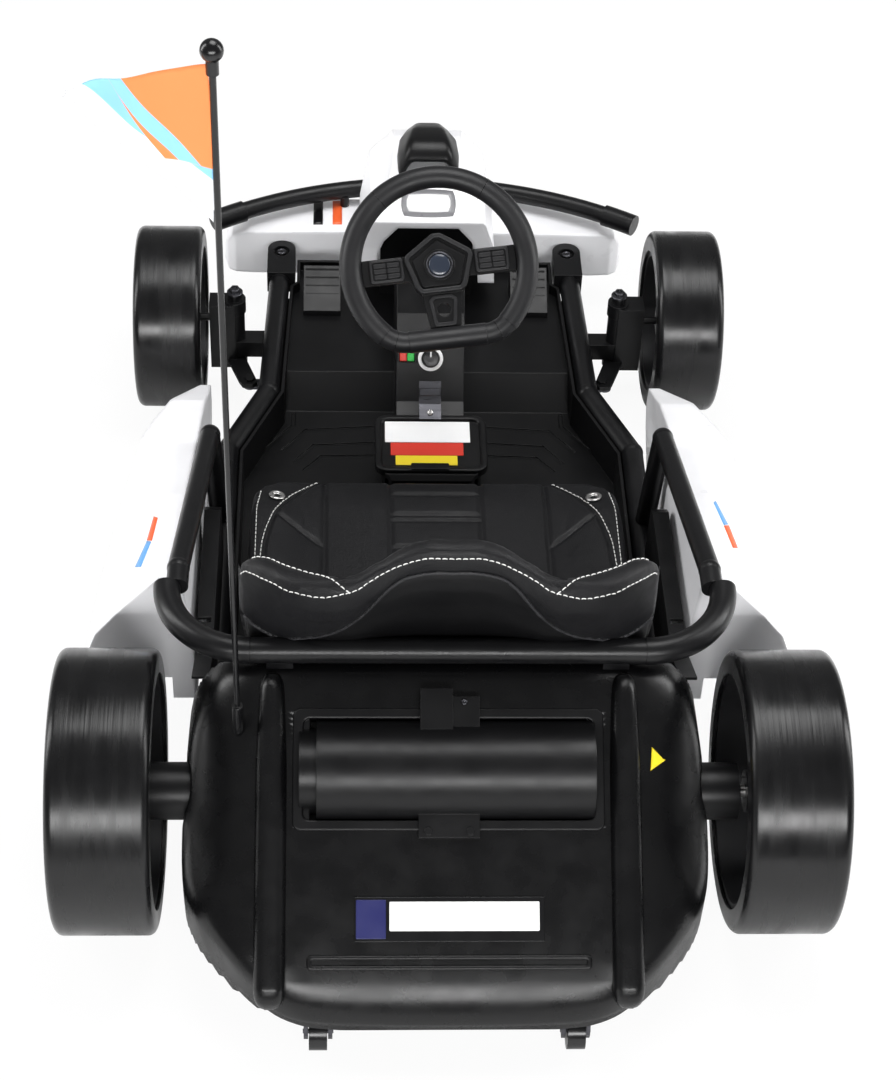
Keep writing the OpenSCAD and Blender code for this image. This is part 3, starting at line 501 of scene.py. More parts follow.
def back_section(x_mm):
    """Points (y, z) in millimetres round the seat back at x, from the front foot over the top to behind."""
    x = abs(x_mm)
    top = curve_through(BACK_TOP_MM, x) - 3
    front = curve_through(BACK_FRONT_MM, x) - 2
    rear = curve_through(BACK_REAR_MM, x) + 2
    wing = smooth(120, 215, x)
    pad = 9 * sin(pi * smooth(0, 108, x)) if x < 108 else 0
    points = []
    for k in range(15):
        t = k / 14
        z = 150 + (top - 12 - 150) * t
        y = 150 + (front - 150) * t ** 1.15 + wing * 30 * sin(pi * t) ** 0.8 + 10 * sin(pi * t)
        points.append((y + pad * (1 - t), z))
    width = front - rear
    for k in range(1, 8):
        a = pi * k / 8
        points.append((rear + width / 2 + width / 2 * cos(a) + 2, top - 10 + 10 * sin(a) ** 0.7))
    foot_y = 88
    for k in range(12):
        t = k / 11
        z = top - 14 - (top - 14 - 190) * t
        y = rear + (foot_y - rear) * smooth(0, 0.75, t) + 2 - 3 * sin(pi * min(1, 1.6 * t))
        points.append((y, z))
    return points


def in_mm(p):
    """Inverse of at(): millimetres from the rear axle's place."""
    return p[0] * 1000, (p[1] - AXLE_Y) * 1000, p[2] * 1000


def quads_of(data):
    return [v.co.copy() for v in data.vertices], [tuple(f.vertices) for f in data.polygons]


def evaluated(work):
    """Vertices and faces of a work object after its modifiers."""
    graph = bpy.context.evaluated_depsgraph_get()
    return quads_of(work.evaluated_get(graph).data)


def swollen(made, pinned, voxel=0.005, cap=0.009, frames=20):
    """Sewn pad: an even skin that swells as cloth between its pinned seams, then one subdivision."""
    mesh = bpy.data.meshes.new("pad_work")
    mesh.from_pydata([tuple(v) for v in made[0]], [], made[1])
    work = bpy.data.objects.new("pad_work", mesh)
    bpy.context.collection.objects.link(work)
    outward(work)
    remesh = work.modifiers.new("skin", "REMESH")
    remesh.mode = "VOXEL"
    remesh.voxel_size = voxel
    start, faces = evaluated(work)
    work.modifiers.clear()
    even = bpy.data.meshes.new("pad_even")
    even.from_pydata([tuple(v) for v in start], [], faces)
    work.data = even
    pins = work.vertex_groups.new(name="pins")
    for i, p in enumerate(start):
        pins.add([i], pinned(*in_mm(p), even.vertices[i].normal), "REPLACE")
    cloth = work.modifiers.new("cloth", "CLOTH")
    cloth.settings.vertex_group_mass = "pins"
    cloth.settings.use_pressure = True
    cloth.settings.uniform_pressure_force = 4
    cloth.settings.effector_weights.gravity = 0
    cloth.settings.quality = 4
    cloth.point_cache.frame_start = 1
    cloth.point_cache.frame_end = frames
    for step in range(1, frames + 1):
        bpy.context.scene.frame_set(step)
    moved, _ = evaluated(work)
    work.modifiers.clear()
    bpy.context.scene.frame_set(1)
    for i, p in enumerate(moved):
        shift = p - start[i]
        if shift.length > cap:
            shift *= cap / shift.length
        even.vertices[i].co = start[i] + shift
    finer = work.modifiers.new("finer", "SUBSURF")
    finer.levels = 1
    result = evaluated(work)
    bpy.data.objects.remove(work)
    return result


def sewn(made, depth):
    """Draws the seams in: each point moves inwards by depth(x, y, z, normal) millimetres."""
    mesh = bpy.data.meshes.new("sewn_work")
    mesh.from_pydata([tuple(v) for v in made[0]], [], made[1])
    vertices = [v.co - v.normal * depth(*in_mm(v.co), v.normal) / 1000 for v in mesh.vertices]
    bpy.data.meshes.remove(mesh)
    return vertices, made[1]


def back_seam(x_mm):
    """Height of the leather's lower edge on the rear of the seat back at x."""
    return curve_through([(0, 449), (30, 446), (58, 432), (90, 385), (125, 345), (160, 322), (177, 315),
                          (203, 325),
                          (218, 332)], abs(x_mm))


def back_pinned(x, y, z, normal):
    """Hold of the seat back's skin: its foot and its seams stay."""
    if z < 205 or abs(x) > 214:
        return 1.0
    if normal.y < -0.3 and z < back_seam(x) + 3:
        return 1.0
    side = abs(x) - 112
    if normal.y > 0.3 and abs(side) < 4:
        return 1.0
    return 0.0


def back_groove(x, y, z, normal):
    """Depth of the seat back's seams: two upright in front, and a step under the leather's edge behind."""
    if normal.y > 0.2:
        return 4 * exp(-((abs(x) - 112) / 3) ** 2) * smooth(200, 230, z)
    if normal.y < -0.2:
        under = back_seam(x) - z
        return 3.5 * smooth(-1, 3, under) * (1 - 0.6 * smooth(3, 60, under))
    return 0.0


def make_seat_back():
    rings = []
    steps = 76
    for i in range(steps + 1):
        u = -1 + 2 * i / steps
        x = BACK_HALF_MM * sin(u * pi / 2)
        section = back_section(x)
        edge = smooth(0.86, 1.0, abs(u))
        centre_y = sum(p[0] for p in section) / len(section)
        ring = []
        for y, z in section:
            narrow = 1 - (1 - smooth(150, 330, z)) * 0.16
            ring.append(at(x * narrow, centre_y + (y - centre_y) * (1 - 0.62 * edge), z))
        rings.append(ring)
    made = sewn(swollen(loft(rings), back_pinned), back_groove)
    piece = add_piece("seat_back_pad", made, "seat_leather")
    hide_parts("seat_back")
    return piece


def make_seat_shell(back):
    """Smooth rear shell under the leather's edge, and the piping along that edge."""
    faces = []
    for face in back.data.polygons:
        x, y, z = in_mm(face.center)
        if face.normal.y < -0.2 and 225 < z < back_seam(x) + 1 and abs(x) < 211:
            faces.append(tuple(face.vertices))
    points = back.data.vertices
    made = thick_skin([v.co for v in points], [v.normal for v in points], faces, 0.0014, 0.001)
    add_piece("seat_rear_shell", made, "black_plastic")
    tree = surface_of(back)
    path = on_surface(tree, [at(x, -60, back_seam(x)) for x in range(-214, 215, 4)], Vector((0, 1, 0)), 0.0012)
    # The piping tube is real; its lighter leather is a painted highlight along the edge.
    add_piece("seat_piping", tube(path, 0.0021, 10), "piping")


CUSHION_HALF_MM = [(132, 208), (300, 221), (400, 221), (446, 217), (462, 209), (474, 194), (481, 172)]
RIB_LINES_MM = (451, 415, 406, 360, 315, 270, 225)


def bolster_seam(y_mm):
    """Half distance between the curved seams of the side bolsters at y."""
    return curve_through([(150, 205), (340, 203), (400, 191), (438, 172), (460, 154), (474, 138)], y_mm)


def cushion_height(x_mm, y_mm):
    """Height of the cushion's top before it swells: flat sewn panels between raised side bolsters."""
    x = abs(x_mm)
    z = 165 - 4 * smooth(440, 481, y_mm)
    return z + 18 * smooth(128, 212, x) * smooth(486, 400, y_mm)


def seam_gap(x_mm, y_mm):
    """Distance to the nearest sewn seam on the cushion's top, in millimetres."""
    x = abs(x_mm)
    gaps = [abs(x - 54), abs(x - 133), abs(x - bolster_seam(y_mm)) if y_mm < 474 else 99]
    if x < 54:
        gaps += [abs(y_mm - line) for line in RIB_LINES_MM]
    if 133 < x < bolster_seam(y_mm):
        gaps.append(abs((y_mm - 363) - (x - 138) * 0.8) / 1.28)
    return min(gaps)


def cushion_pinned(x, y, z, normal):
    """Hold of the cushion's skin: the underside, the rim and the seams stay."""
    if z < 140 or normal.z < 0.2:
        return 1.0
    return 1.0 if seam_gap(x, y) < 3.5 else 0.0


def cushion_groove(x, y, z, normal):
    """Depth of the cushion's seams."""
    if normal.z < 0.3:
        return 0.0
    return 3.6 * exp(-(seam_gap(x, y) / 2.3) ** 2) * smooth(483, 474, y)


def make_seat_cushion():
    """Crowned pad: its panels swell between the seams and its sides pull in under the edge."""
    x_steps, rows = 88, 60
    rings = []
    for i in range(rows + 1):
        t = i / rows
        y = 132 + (481 - 132) * t
        half = curve_through(CUSHION_HALF_MM, y)
        drop = smooth(0.975, 1.0, t)
        ring = []
        for k in range(x_steps + 1):
            u = -1 + 2 * k / x_steps
            side = smooth(0.88, 1.0, abs(u))
            x = half * sin(u * pi / 2)
            ring.append(at(x, y - 1.5 * side, cushion_height(x, y) - 20 * side ** 2 - 12 * drop ** 2))
        for u, z in ((1.0, 141), (0.955, 131), (0.5, 130.4), (-0.5, 130.4), (-0.955, 131), (-1.0, 141)):
            ring.append(at(half * 0.99 * u, min(y, 476), z))
        rings.append(ring)
    made = sewn(swollen(loft(rings), cushion_pinned), cushion_groove)
    piece = add_piece("seat_cushion_pad", made, "seat_leather")
    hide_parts("seat_cushion")
    return piece


def surface_of(piece):
    """Search tree over a piece's surface, in the frame."""
    work = bmesh.new()
    work.from_mesh(piece.data)
    work.transform(piece.matrix_world)
    tree = BVHTree.FromBMesh(work)
    work.free()
    return tree


def dropped(tree, point, direction, lift):
    """Point where a ray from point meets the surface, lifted off it, or None."""
    hit, normal, _, _ = tree.ray_cast(point, direction)
    if hit is None:
        return None
    if normal.dot(direction) > 0:
        normal = -normal
    return hit + normal * lift


def on_surface(tree, path, direction, lift=0.0004):
    hits = [dropped(tree, p, direction, lift) for p in path]
    return [h for h in hits if h is not None]


def sewn_line(tree, path, up=Vector((0, 0, 1))):
    """Thread dashes along a path dropped onto a pad from above."""
    return stitches(on_surface(tree, path, Vector((0, 0, -1))), up)


def make_seat_trim(back, cushion):
    """Thread and eyelets of the seat."""
    down = Vector((0, 0, -1))
    back_tree, cushion_tree = surface_of(back), surface_of(cushion)
    parts = []
    rear_path = []
    for i in range(-54, 55):
        x = i * 4
        rear_path.append(at(x, curve_through(BACK_REAR_MM, abs(x)) + 5, 560))
    parts.append(sewn_line(back_tree, rear_path, Vector((0, -0.3, 0.95))))
    for s in (-1, 1):
        inner = []
        for i in range(0, 27):
            x = 98 + i * 4.2
            share = smooth(88, 140, x) * 0.8
            y = curve_through(BACK_REAR_MM, x) * (1 - share) + curve_through(BACK_FRONT_MM, x) * share
            inner.append(at(s * x, y, 560))
        parts.append(sewn_line(back_tree, inner))
        seam = [at(s * (bolster_seam(y) + 3.5), y, 400) for y in range(180, 476, 3)]
        parts.append(sewn_line(cushion_tree, seam))
        edge = [at(s * (209 + 4 * smooth(452, 400, y)), y, 400) for y in range(180, 452, 4)]
        parts.append(sewn_line(cushion_tree, edge))
    add_piece("seat_stitching", joined(parts), "thread")
    rings = []
    for s in (-1, 1):
        spots = [dropped(cushion_tree, at(s * 190 + dx, 435 + dy, 400), down, 0.0)
                 for dx, dy in ((-9, 0), (9, 0), (0, -9), (0, 9))]
        centre = sum(spots, Vector()) / 4
        axis = (spots[1] - spots[0]).cross(spots[3] - spots[2]).normalized()
        rings.append(ring_mesh(centre + axis * 0.0018, axis, 0.0074, 0.0025))
        rings.append(ring_mesh(centre + axis * 0.0006, axis, 0.0056, 0.0014))
    add_piece("seat_eyelets", joined(rings), "bare_steel")


def ring_mesh(centre, axis, radius, thickness, sides=32, around=10):
    """Round ring of wire."""
    side = axis.orthogonal().normalized()
    other = axis.cross(side)
    rings = []
    for k in range(sides + 1):
        a = 2 * pi * k / sides
        out = cos(a) * side + sin(a) * other
        rings.append([centre + out * radius + thickness * (cos(b) * out + 0.6 * sin(b) * axis)
                      for b in (2 * pi * m / around for m in range(around))])
    return loft(rings, capped=False)


# Flag

FLAG_HOIST_TOP_MM = 1068
FLAG_HOIST_LOW_MM = 909
FLAG_REACH_MM = 118
FLAG_BORDER = 0.0006


def make_flag():
    """Pennant of thin cloth; it hangs in two soft folds."""
    columns, rows = 48, 32
    half_gap = 0.0004
    front, back = [], []
    for i in range(columns + 1):
        u = i / columns
        for k in range(rows + 1):
            v = k / rows
            top = FLAG_HOIST_TOP_MM - 30 * u ** 1.4
            low = FLAG_HOIST_LOW_MM + (FLAG_HOIST_TOP_MM - 30 - FLAG_HOIST_LOW_MM - 1) * u ** 0.92
            z = low + (top - low) * v
            fold = 7 * sin(2.4 * pi * u + 2.2 * v) * u + 4 * sin(4.2 * pi * u - 3 * v) * u
            x = -224 - FLAG_REACH_MM * u + 2 * sin(3 * v)
            p = at(x, 4 + fold, z)
            front.append(p + Vector((0, -half_gap, 0)))
            back.append(p + Vector((0, half_gap, 0)))
    stride = rows + 1
    faces = []
    for i in range(columns):
        for k in range(rows):
            a, b, c, d = i * stride + k, i * stride + k + 1, (i + 1) * stride + k + 1, (i + 1) * stride + k
            faces.append((a, b, c, d))
            faces.append(tuple(len(front) + j for j in (d, c, b, a)))
    border = ([(i * stride, (i + 1) * stride) for i in range(columns)]
              + [(columns * stride + k, columns * stride + k + 1) for k in range(rows)]
              + [((i + 1) * stride + rows, i * stride + rows) for i in range(columns)]
              + [(k + 1, k) for k in range(rows)])
    faces += [(b, a, a + len(front), b + len(front)) for a, b in border]
    piece = add_piece("flag_cloth", (front + back, faces), "flag_fabric")
    outward(piece)
    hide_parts("flag")


def flag_fabric():
    """Thin printed cloth: three plain colour fields with slanting borders, and a fine weave."""
    s = Shader("flag_fabric", (0.8, 0.8, 0.8), 0.75, Sheen_Weight=0.2)
    coords = s.nodes.new("ShaderNodeTexCoord")
    split = s.nodes.new("ShaderNodeSeparateXYZ")
    s.links.new(coords.outputs["Object"], split.inputs[0])

    def line(x_share, z_share, offset):
        """1 where x * x_share + z * z_share is over the offset, with a sharp border."""
        total = s.number("ADD", s.number("MULTIPLY", split.outputs["X"], x_share),
                         s.number("MULTIPLY", split.outputs["Z"], z_share))
        return s.ranged(total, 0, 1, offset - FLAG_BORDER, offset + FLAG_BORDER)

    def both(first, second):
        return s.number("MULTIPLY", first, second)

    blue, orange, white = (0.27, 0.6, 0.86), (0.93, 0.25, 0.07), (0.86, 0.88, 0.92)
    base = s.blend(line(0.862, 1.0, 0.7614), white, blue)
    field = both(line(1.756, 1.0, 0.5149), line(0.265, 1.0, 0.9056))
    base = s.blend(field, base, orange)
    band = both(both(field, line(1.4035, 1.0, 0.620)), line(-1.4035, -1.0, -0.641))
    base = s.blend(band, base, blue)
    s.paint(base)
    s.bump(s.noise(1600, 1, (1, 0.2, 1)), 0.0002, 0.5)
    s.bump(s.noise(40, 3), 0.0008, 0.4)
    return s.material


# Hard details

TILT = atan2(289 - 110, 53 + 215)
WHEEL_TILT = radians(45)
WHEEL_TURN = radians(7)
TOWER_TILT = atan2(214 - 122, 65)


class Plane:
    """A flat place on the kart: u to the right, v up it, and h out of it, in millimetres."""

    def __init__(self, origin, tilt, turn=0.0):
        self.origin = origin
        u = Vector((1, 0, 0))
        v = Vector((0, cos(tilt), sin(tilt)))
        self.out = Vector((0, -sin(tilt), cos(tilt)))
        self.u = cos(turn) * u + sin(turn) * v
        self.v = cos(turn) * v - sin(turn) * u

    def at(self, u, v, h=0.0):
        return at(*self.origin) + (self.u * u + self.v * v + self.out * h) / 1000


SLOPE = Plane((0, -215, 110), TILT)
WHEEL = Plane((0, 578, 413), WHEEL_TILT, WHEEL_TURN)
TOWER = Plane((0, 668, 122), TOWER_TILT)


def shrunk(outline, d):
    """Outline (u, v), anticlockwise, with its sides d further in."""
    points = []
    for i, b in enumerate(outline):
        a, c = Vector(outline[i - 1]), Vector(outline[(i + 1) % len(outline)])
        b = Vector(b)
        n = (b - a).normalized()
        m = (c - b).normalized()
        n, m = Vector((-n.y, n.x)), Vector((-m.y, m.x))
        mean = (n + m).normalized()
        points.append(b + mean * d / max(0.4, mean.dot(n)))
    return [tuple(p) for p in points]


def rounded(half_u, half_v, radius, centre=(0, 0), steps=6):
    """Anticlockwise outline of a rectangle with round corners."""
    points = []
    for k, (su, sv) in enumerate(((1, -1), (1, 1), (-1, 1), (-1, -1))):
        for i in range(steps + 1):
            a = pi / 2 * (k - 1 + i / steps)
            points.append((centre[0] + su * (half_u - radius) + radius * cos(a),
                           centre[1] + sv * (half_v - radius) + radius * sin(a)))
    return points


def softened(outline, radius, steps=4):
    """Outline with each corner cut by a small curve."""
    points = []
    for i, b in enumerate(outline):
        a, b, c = Vector(outline[i - 1]), Vector(b), Vector(outline[(i + 1) % len(outline)])
        near = b + (a - b).normalized() * min(radius, (a - b).length * 0.45)
        far = b + (c - b).normalized() * min(radius, (c - b).length * 0.45)
        for k in range(steps + 1):
            t = k / steps
            points.append(tuple((1 - t) ** 2 * near + 2 * t * (1 - t) * b + t * t * far))
    return points


def slab(plane, outline, low, high, edge=0.6):
    """Plate on a plane with a rounded upper edge."""
    rings = []
    for d, h in ((0, low), (0, high - edge), (0.3 * edge, high - 0.3 * edge), (edge, high)):
        rings.append([plane.at(u, v, h) for u, v in shrunk(outline, d)])
    return loft(rings)


def rim_of(plane, outer, inner, low, high, edge=0.8):
    """Raised frame between two outlines of equally many points, with round edges."""
    rings = []
    for outline, d, h in ((outer, 0, low), (outer, 0, high - edge), (outer, 0.3 * edge, high - 0.3 * edge),
                          (outer, edge, high), (inner, -edge, high), (inner, -0.3 * edge, high - 0.3 * edge),
                          (inner, 0, high - edge), (inner, 0, low), (outer, 0, low)):
        rings.append([plane.at(u, v, h) for u, v in shrunk(outline, d)])
    return loft(rings, capped=False)


def turned_part(plane, centre, profile, sides=40, flutes=0, depth=0.0):
    """Round part standing on a plane: profile of (radius, height), with flutes in its side if wanted."""
    rings = []
    for radius, height in profile:
        ring = []
        for k in range(sides):
            a = 2 * pi * k / sides
            r = radius - (depth * (0.5 + 0.5 * cos(flutes * a)) if flutes and radius > depth * 4 else 0)
            ring.append(plane.at(centre[0] + r * cos(a), centre[1] + r * sin(a), height))
        rings.append(ring)
    return loft(rings)


def bolt_head(plane, centre, radius, low):
    """Button head with a round socket."""
    dome = turned_part(plane, centre, [(radius, low), (radius, low + 0.35 * radius),
                                       (0.85 * radius,
                                        low + 0.62 * radius), (0.5 * radius, low + 0.75 * radius),
                                       (0.46 * radius, low + 0.4 * radius)], 24)
    return dome


def make_wheel_trim():
    """Bezel, cap, button pads, spoke panel and grip seams of the steering wheel."""
    base = [(-30, -26), (-24, -32), (24, -32), (30, -26), (41, 8), (38, 16), (5, 38), (-5, 38), (-38, 16),
            (-41, 8)]
    base = softened(base, 3)
    dark = [rim_of(WHEEL, shrunk(base, 0.4), shrunk(base, 6.2), 1.5, 6.5, 1.6)]
    for s in (-1, 1):
        dark.append(rim_of(WHEEL, rounded(20, 14, 4, (s * 62, 0)), rounded(16.4, 10.4, 2.5, (s * 62, 0)), -2,
                           5, 1.2))
        for u in (-7.9, 7.9):
            for v in (-6.4, 0, 6.4):
                dark.append(slab(WHEEL, rounded(7.3, 2.7, 1, (s * 62 + u, v), 3), 3, 5.2, 0.8))
    panel = [(-13, -71), (13, -71), (17, -40), (11, -34), (-11, -34), (-17, -40)]
    dark.append(rim_of(WHEEL, softened(panel, 3), softened(shrunk(panel, 4.5), 2), -2, 1.2, 0.8))
    add_piece("wheel_trim", joined(dark), "soft_black", "steering", flat=True)
    cap = [turned_part(WHEEL, (0, 0), [(12.6, 8.5), (12.6, 9.6), (11.5, 10.2), (6, 10.7), (0.4, 10.9)], 48)]
    add_piece("wheel_cap", joined(cap), "slate_gloss", "steering")
    ring = ring_mesh(WHEEL.at(0, 0, 9.3), WHEEL.out, 0.0145, 0.0011, 64)
    add_piece("wheel_cap_ring", ring, "dark_steel", "steering")
    seams = []
    for angle in (53.5, 126.5):
        a = radians(angle)
        ahead = -sin(a) * WHEEL.u + cos(a) * WHEEL.v
        seams.append(ring_mesh(WHEEL.at(104 * cos(a), 104 * sin(a)), ahead, 0.0129, 0.0007, 40, 8))
    for s in (-1, 1):
        a = radians(-68)
        centre = WHEEL.at(s * (44.9 + 40 * cos(a)), -45.6 + 40 * sin(a))
        ahead = -s * sin(a) * WHEEL.u + cos(a) * WHEEL.v
        seams.append(ring_mesh(centre, ahead, 0.0123, 0.0007, 40, 8))
    add_piece("wheel_seams", joined(seams), "gloss_black", "steering")


def make_dashboard():
    """Knob with its ring and marks, the two rockers, the bracket and the plug box lid."""
    plane = Plane((0, 700, 167), TOWER_TILT)
    knob = turned_part(plane, (0, 0), [(10.6, 5), (10.6, 12.5), (9.6, 14), (5, 14.3), (0.3, 14.3)], 96, 24,
                       0.9)
    collar = turned_part(plane, (0, 0), [(17, 0.3), (17, 4.5), (16.2, 5.3), (0.3, 5.3)], 48)
    mark = slab(plane, rounded(0.9, 3.4, 0.5, (0, 6), 2), 14, 14.7, 0.3)
    bezel = rim_of(plane, rounded(12, 8, 2, (-30, 2)), rounded(10, 6, 1, (-30, 2)), 0.3, 4, 0.6)
    holder = slab(plane, rounded(10.3, 6.3, 1, (-30, 2)), 0.2, 2)
    piece = add_piece("control_knob", joined([knob, collar, bezel, holder]), "gloss_black", flat=True)
    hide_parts("controls")
    white = rim_of(plane, [(16 * cos(a), 16 * sin(a)) for a in circle_steps(64)],
                   [(11.6 * cos(a), 11.6 * sin(a)) for a in circle_steps(64)], 5, 6.4, 0.5)
    add_piece("knob_ring", joined([white, mark]), "white_label", flat=True)
    for name, u, material in (("rocker_red", -34.8, "red_vinyl"), ("rocker_green", -25.2, "green_plastic")):
        rocker = slab(plane, rounded(4.4, 5.6, 1, (u, 2), 3), 1.5, 5.5, 1.2)
        add_piece(name, rocker, material, flat=True)
    make_bracket()
    make_plug_lid()


def circle_steps(count):
    return [2 * pi * k / count for k in range(count)]


def make_bracket():
    """Bent steel strip down the tower's face, with one bright bolt."""
    face, flat = TOWER, Plane((0, 642, 112), atan2(10, 26))
    half, thick = 14, 2.4
    rings = []
    for plane, v, lift in ((face, 26, 0.2), (face, 4, 0.2), (flat, 22.5, 0.2), (flat, 1, 0.2)):
        corners = ((-half, lift), (-half, lift + thick), (half, lift + thick), (half, lift))
        rings.append([plane.at(u, v, h) for u, h in corners])
    pad = slab(face, rounded(half, 5, 2, (0, 12)), 2, 5.4, 1.4)
    add_piece("tower_bracket", joined([loft(rings), pad]), "dark_steel", flat=True)
    bolt = bolt_head(flat, (0, 10), 4.2, thick)
    add_piece("bracket_bolt", bolt, "bare_steel")


def make_plug_lid():
    """Lid of the plug box: a round-cornered frame, a tab and three plain colour fields."""
    top = Plane((0, 600, 108.3), atan2(4, 85))
    frame_parts = [rim_of(top, rounded(71, 50, 16), rounded(62, 42, 9), -5.5, 5, 2.4),
                   slab(top, rounded(24, 5.5, 2, (-2, -43)), 0, 6.4, 1),
                   slab(top, rounded(62.5, 42.5, 9), -4.5, 0.8, 0.4)]
    add_piece("plug_lid", joined(frame_parts), "black_plastic", flat=True)
    for name, outline, material in (
            ("label_white", rounded(54, 18.5, 1, (-4, 22), 2), "white_label"),
            ("label_red", rounded(46, 11.2, 1, (-5, -8.5), 2), "red_vinyl"),
            ("label_yellow", rounded(39, 8.4, 1, (-6, -28.5), 2), "yellow_vinyl")):
        add_piece(name, slab(top, outline, 0.6, 1.5, 0.2), material, flat=True)


PATCH_HEIGHT_MM = 500


def sticker(tree, corners, direction, lift=0.0007, step=0.006, round_share=0.0):
    """Thin skin between four corners, dropped onto a surface along a direction."""
    a, b, c, d = [at(*p) if not isinstance(p, Vector) else p for p in corners]
    columns = max(3, int((b - a).length / step))
    rows = max(3, int((d - a).length / step))
    top = []
    for i in range(columns + 1):
        for k in range(rows + 1):
            u, v = 2 * i / columns - 1, 2 * k / rows - 1
            x = u + round_share * u * (sqrt(1 - v * v / 2) - 1)
            y = v + round_share * v * (sqrt(1 - u * u / 2) - 1)
            p = a.lerp(b, (x + 1) / 2).lerp(d.lerp(c, (x + 1) / 2), (y + 1) / 2)
            hit = dropped(tree, p, direction, lift)
            if hit is None:
                return None
            top.append(hit)
    low = [p + direction * (lift + 0.0004) for p in top]
    stride = rows + 1
    faces = []
    for i in range(columns):
        for k in range(rows):
            faces.append((i * stride + k, (i + 1) * stride + k, (i + 1) * stride + k + 1, i * stride + k + 1))
    border = ([i * stride for i in range(columns)] + [columns * stride + k for k in range(rows)]
              + [i * stride + rows for i in range(columns, 0, -1)] + [k for k in range(rows, 0, -1)])
    n = len(top)
    faces += [tuple(n + j for j in face[::-1]) for face in faces]
    faces += [(border[k], n + border[k], n + border[(k + 1) % len(border)], border[(k + 1) % len(border)])
              for k in range(len(border))]
    return top + low, faces


def node_tree_of(name):
    return surface_of(frame["nodes"][name])


def level_patch(x_low, x_high, y_low, y_high):
    """Corners of a level rectangle above the kart, in millimetres."""
    corners = ((x_low, y_low), (x_high, y_low), (x_high, y_high), (x_low, y_high))
    return [(x, y, PATCH_HEIGHT_MM) for x, y in corners]


def make_stickers(rear_cover):
    """Plain colour fields on the bumper, the hood and the rear cover."""
    down = Vector((0, 0, -1))
    bumper = node_tree_of("front_bumper")
    for name, x, material in (("stripe_black", -146.5, "gloss_black"),
                              ("stripe_orange", -120, "orange_vinyl")):
        add_sticker(name, sticker(bumper, level_patch(x - 6.5, x + 6.5, 1024, 1077), down), material)
    hood = node_tree_of("nose_fairing")
    badge = sticker(hood, level_patch(-36, 36, 897, 931), down, round_share=0.35)
    add_sticker("hood_badge", badge, "grey_vinyl")
    field = sticker(hood, level_patch(-29, 29, 903, 925), down, 0.0014, round_share=0.35)
    add_sticker("hood_badge_field", field, "white_label")
    cover = surface_of(rear_cover)
    inward = -SLOPE.out
    add_sticker("cover_triangle", sticker(cover, (SLOPE.at(212, 216, 90), SLOPE.at(229, 228, 90),
                                                  SLOPE.at(226, 229, 90), SLOPE.at(214, 241, 90)), inward,
                                          step=0.004), "yellow_vinyl")
    add_piece("plate_white", slab(SLOPE, rounded(77.5, 15, 1, (15.5, 65), 2), 2.2, 3.2, 0.3), "white_label",
              flat=True)
    add_piece("plate_blue", slab(SLOPE, rounded(15.5, 20, 1, (-81, 62), 2), 2.2, 3.0, 0.3), "blue_vinyl",
              flat=True)


# Outlines of the rear cover in millimetres: side (Y, Z), plan (X, Y), front (X, Z),
# and crown (X, height over the slope)
COVER_TAIL, COVER_LOW, COVER_FRONT, COVER_HALF, COVER_TOP, AXLE_Z = -243, 58, 85, 286, 289, 153
COVER_SIDE_MM = [(COVER_FRONT, COVER_TOP - 20), (COVER_FRONT - 14, COVER_TOP - 3), (53, COVER_TOP),
                 (-215, 110),
                 (-233, 94), (COVER_TAIL + 2, COVER_LOW + 20), (COVER_TAIL, COVER_LOW + 8)]
COVER_PLAN_MM = [(100, COVER_TAIL), (COVER_HALF - 128, COVER_TAIL + 6), (COVER_HALF - 84, COVER_TAIL + 30),
                 (COVER_HALF - 40, COVER_TAIL + 76), (COVER_HALF - 14, COVER_TAIL + 120),
                 (COVER_HALF, COVER_TAIL + 172), (COVER_HALF, 40), (COVER_HALF - 6, COVER_FRONT + 1)]
COVER_FRONT_MM = [(COVER_HALF - 4, COVER_LOW), (COVER_HALF, 100), (COVER_HALF - 3, 160),
                  (COVER_HALF - 10, 205),
                  (COVER_HALF - 22, 240), (COVER_HALF - 38,
                                           264), (COVER_HALF - 58, 281), (COVER_HALF - 80, COVER_TOP)]
COVER_CROWN_MM = [(300, -500), (300, -90), (278, -44), (256, -22), (232, -8), (205, 0)]
COVER_ROUND_MM = 11
SLOPE_FOOT_MM = Vector((0, -215, 110))
COVER_WALL = 0.0025
# Half size and middle of the drum's bay on the slope, for the opening in the cover
BAY_HALF_MM, BAY_MIDDLE_MM = (157, 58), 217
# Grid of the cover's skin: rows round the axle and steps from side to side;
# the inner share of the steps is even in X
COVER_ROWS, COVER_STEPS, EVEN_SHARE, EVEN_REACH_MM, EVEN_RISE_MM = 150, 220, 0.85, 300, 129
SLEEVE_MM = 42


def half_planes(outline, lift):
    """Outward planes (normal, distance) along an anticlockwise outline, which lift puts in space."""
    planes = []
    for (a0, a1), (b0, b1) in zip(outline, outline[1:]):
        size = hypot(b0 - a0, b1 - a1)
        normal = lift((b1 - a1) / size, -(b0 - a0) / size)
        planes.append((normal, normal.dot(lift(a0, a1))))
    return planes


def cover_planes():
    """Planes around the right half of the rear cover, in millimetres with X taken positive."""
    planes = half_planes(COVER_SIDE_MM, lambda y, z: Vector((0, y, z)))
    planes += half_planes(COVER_PLAN_MM, lambda x, y: Vector((x, y, 0)))
    planes += half_planes(COVER_FRONT_MM, lambda x, z: Vector((x, 0, z)))
    for normal, distance in half_planes(COVER_CROWN_MM, lambda x, h: Vector((x, 0, 0)) + SLOPE.out * h):
        planes.append((normal, distance + normal.dot(SLOPE_FOOT_MM)))
    return [(n.x, n.y, n.z, d) for n, d in planes]


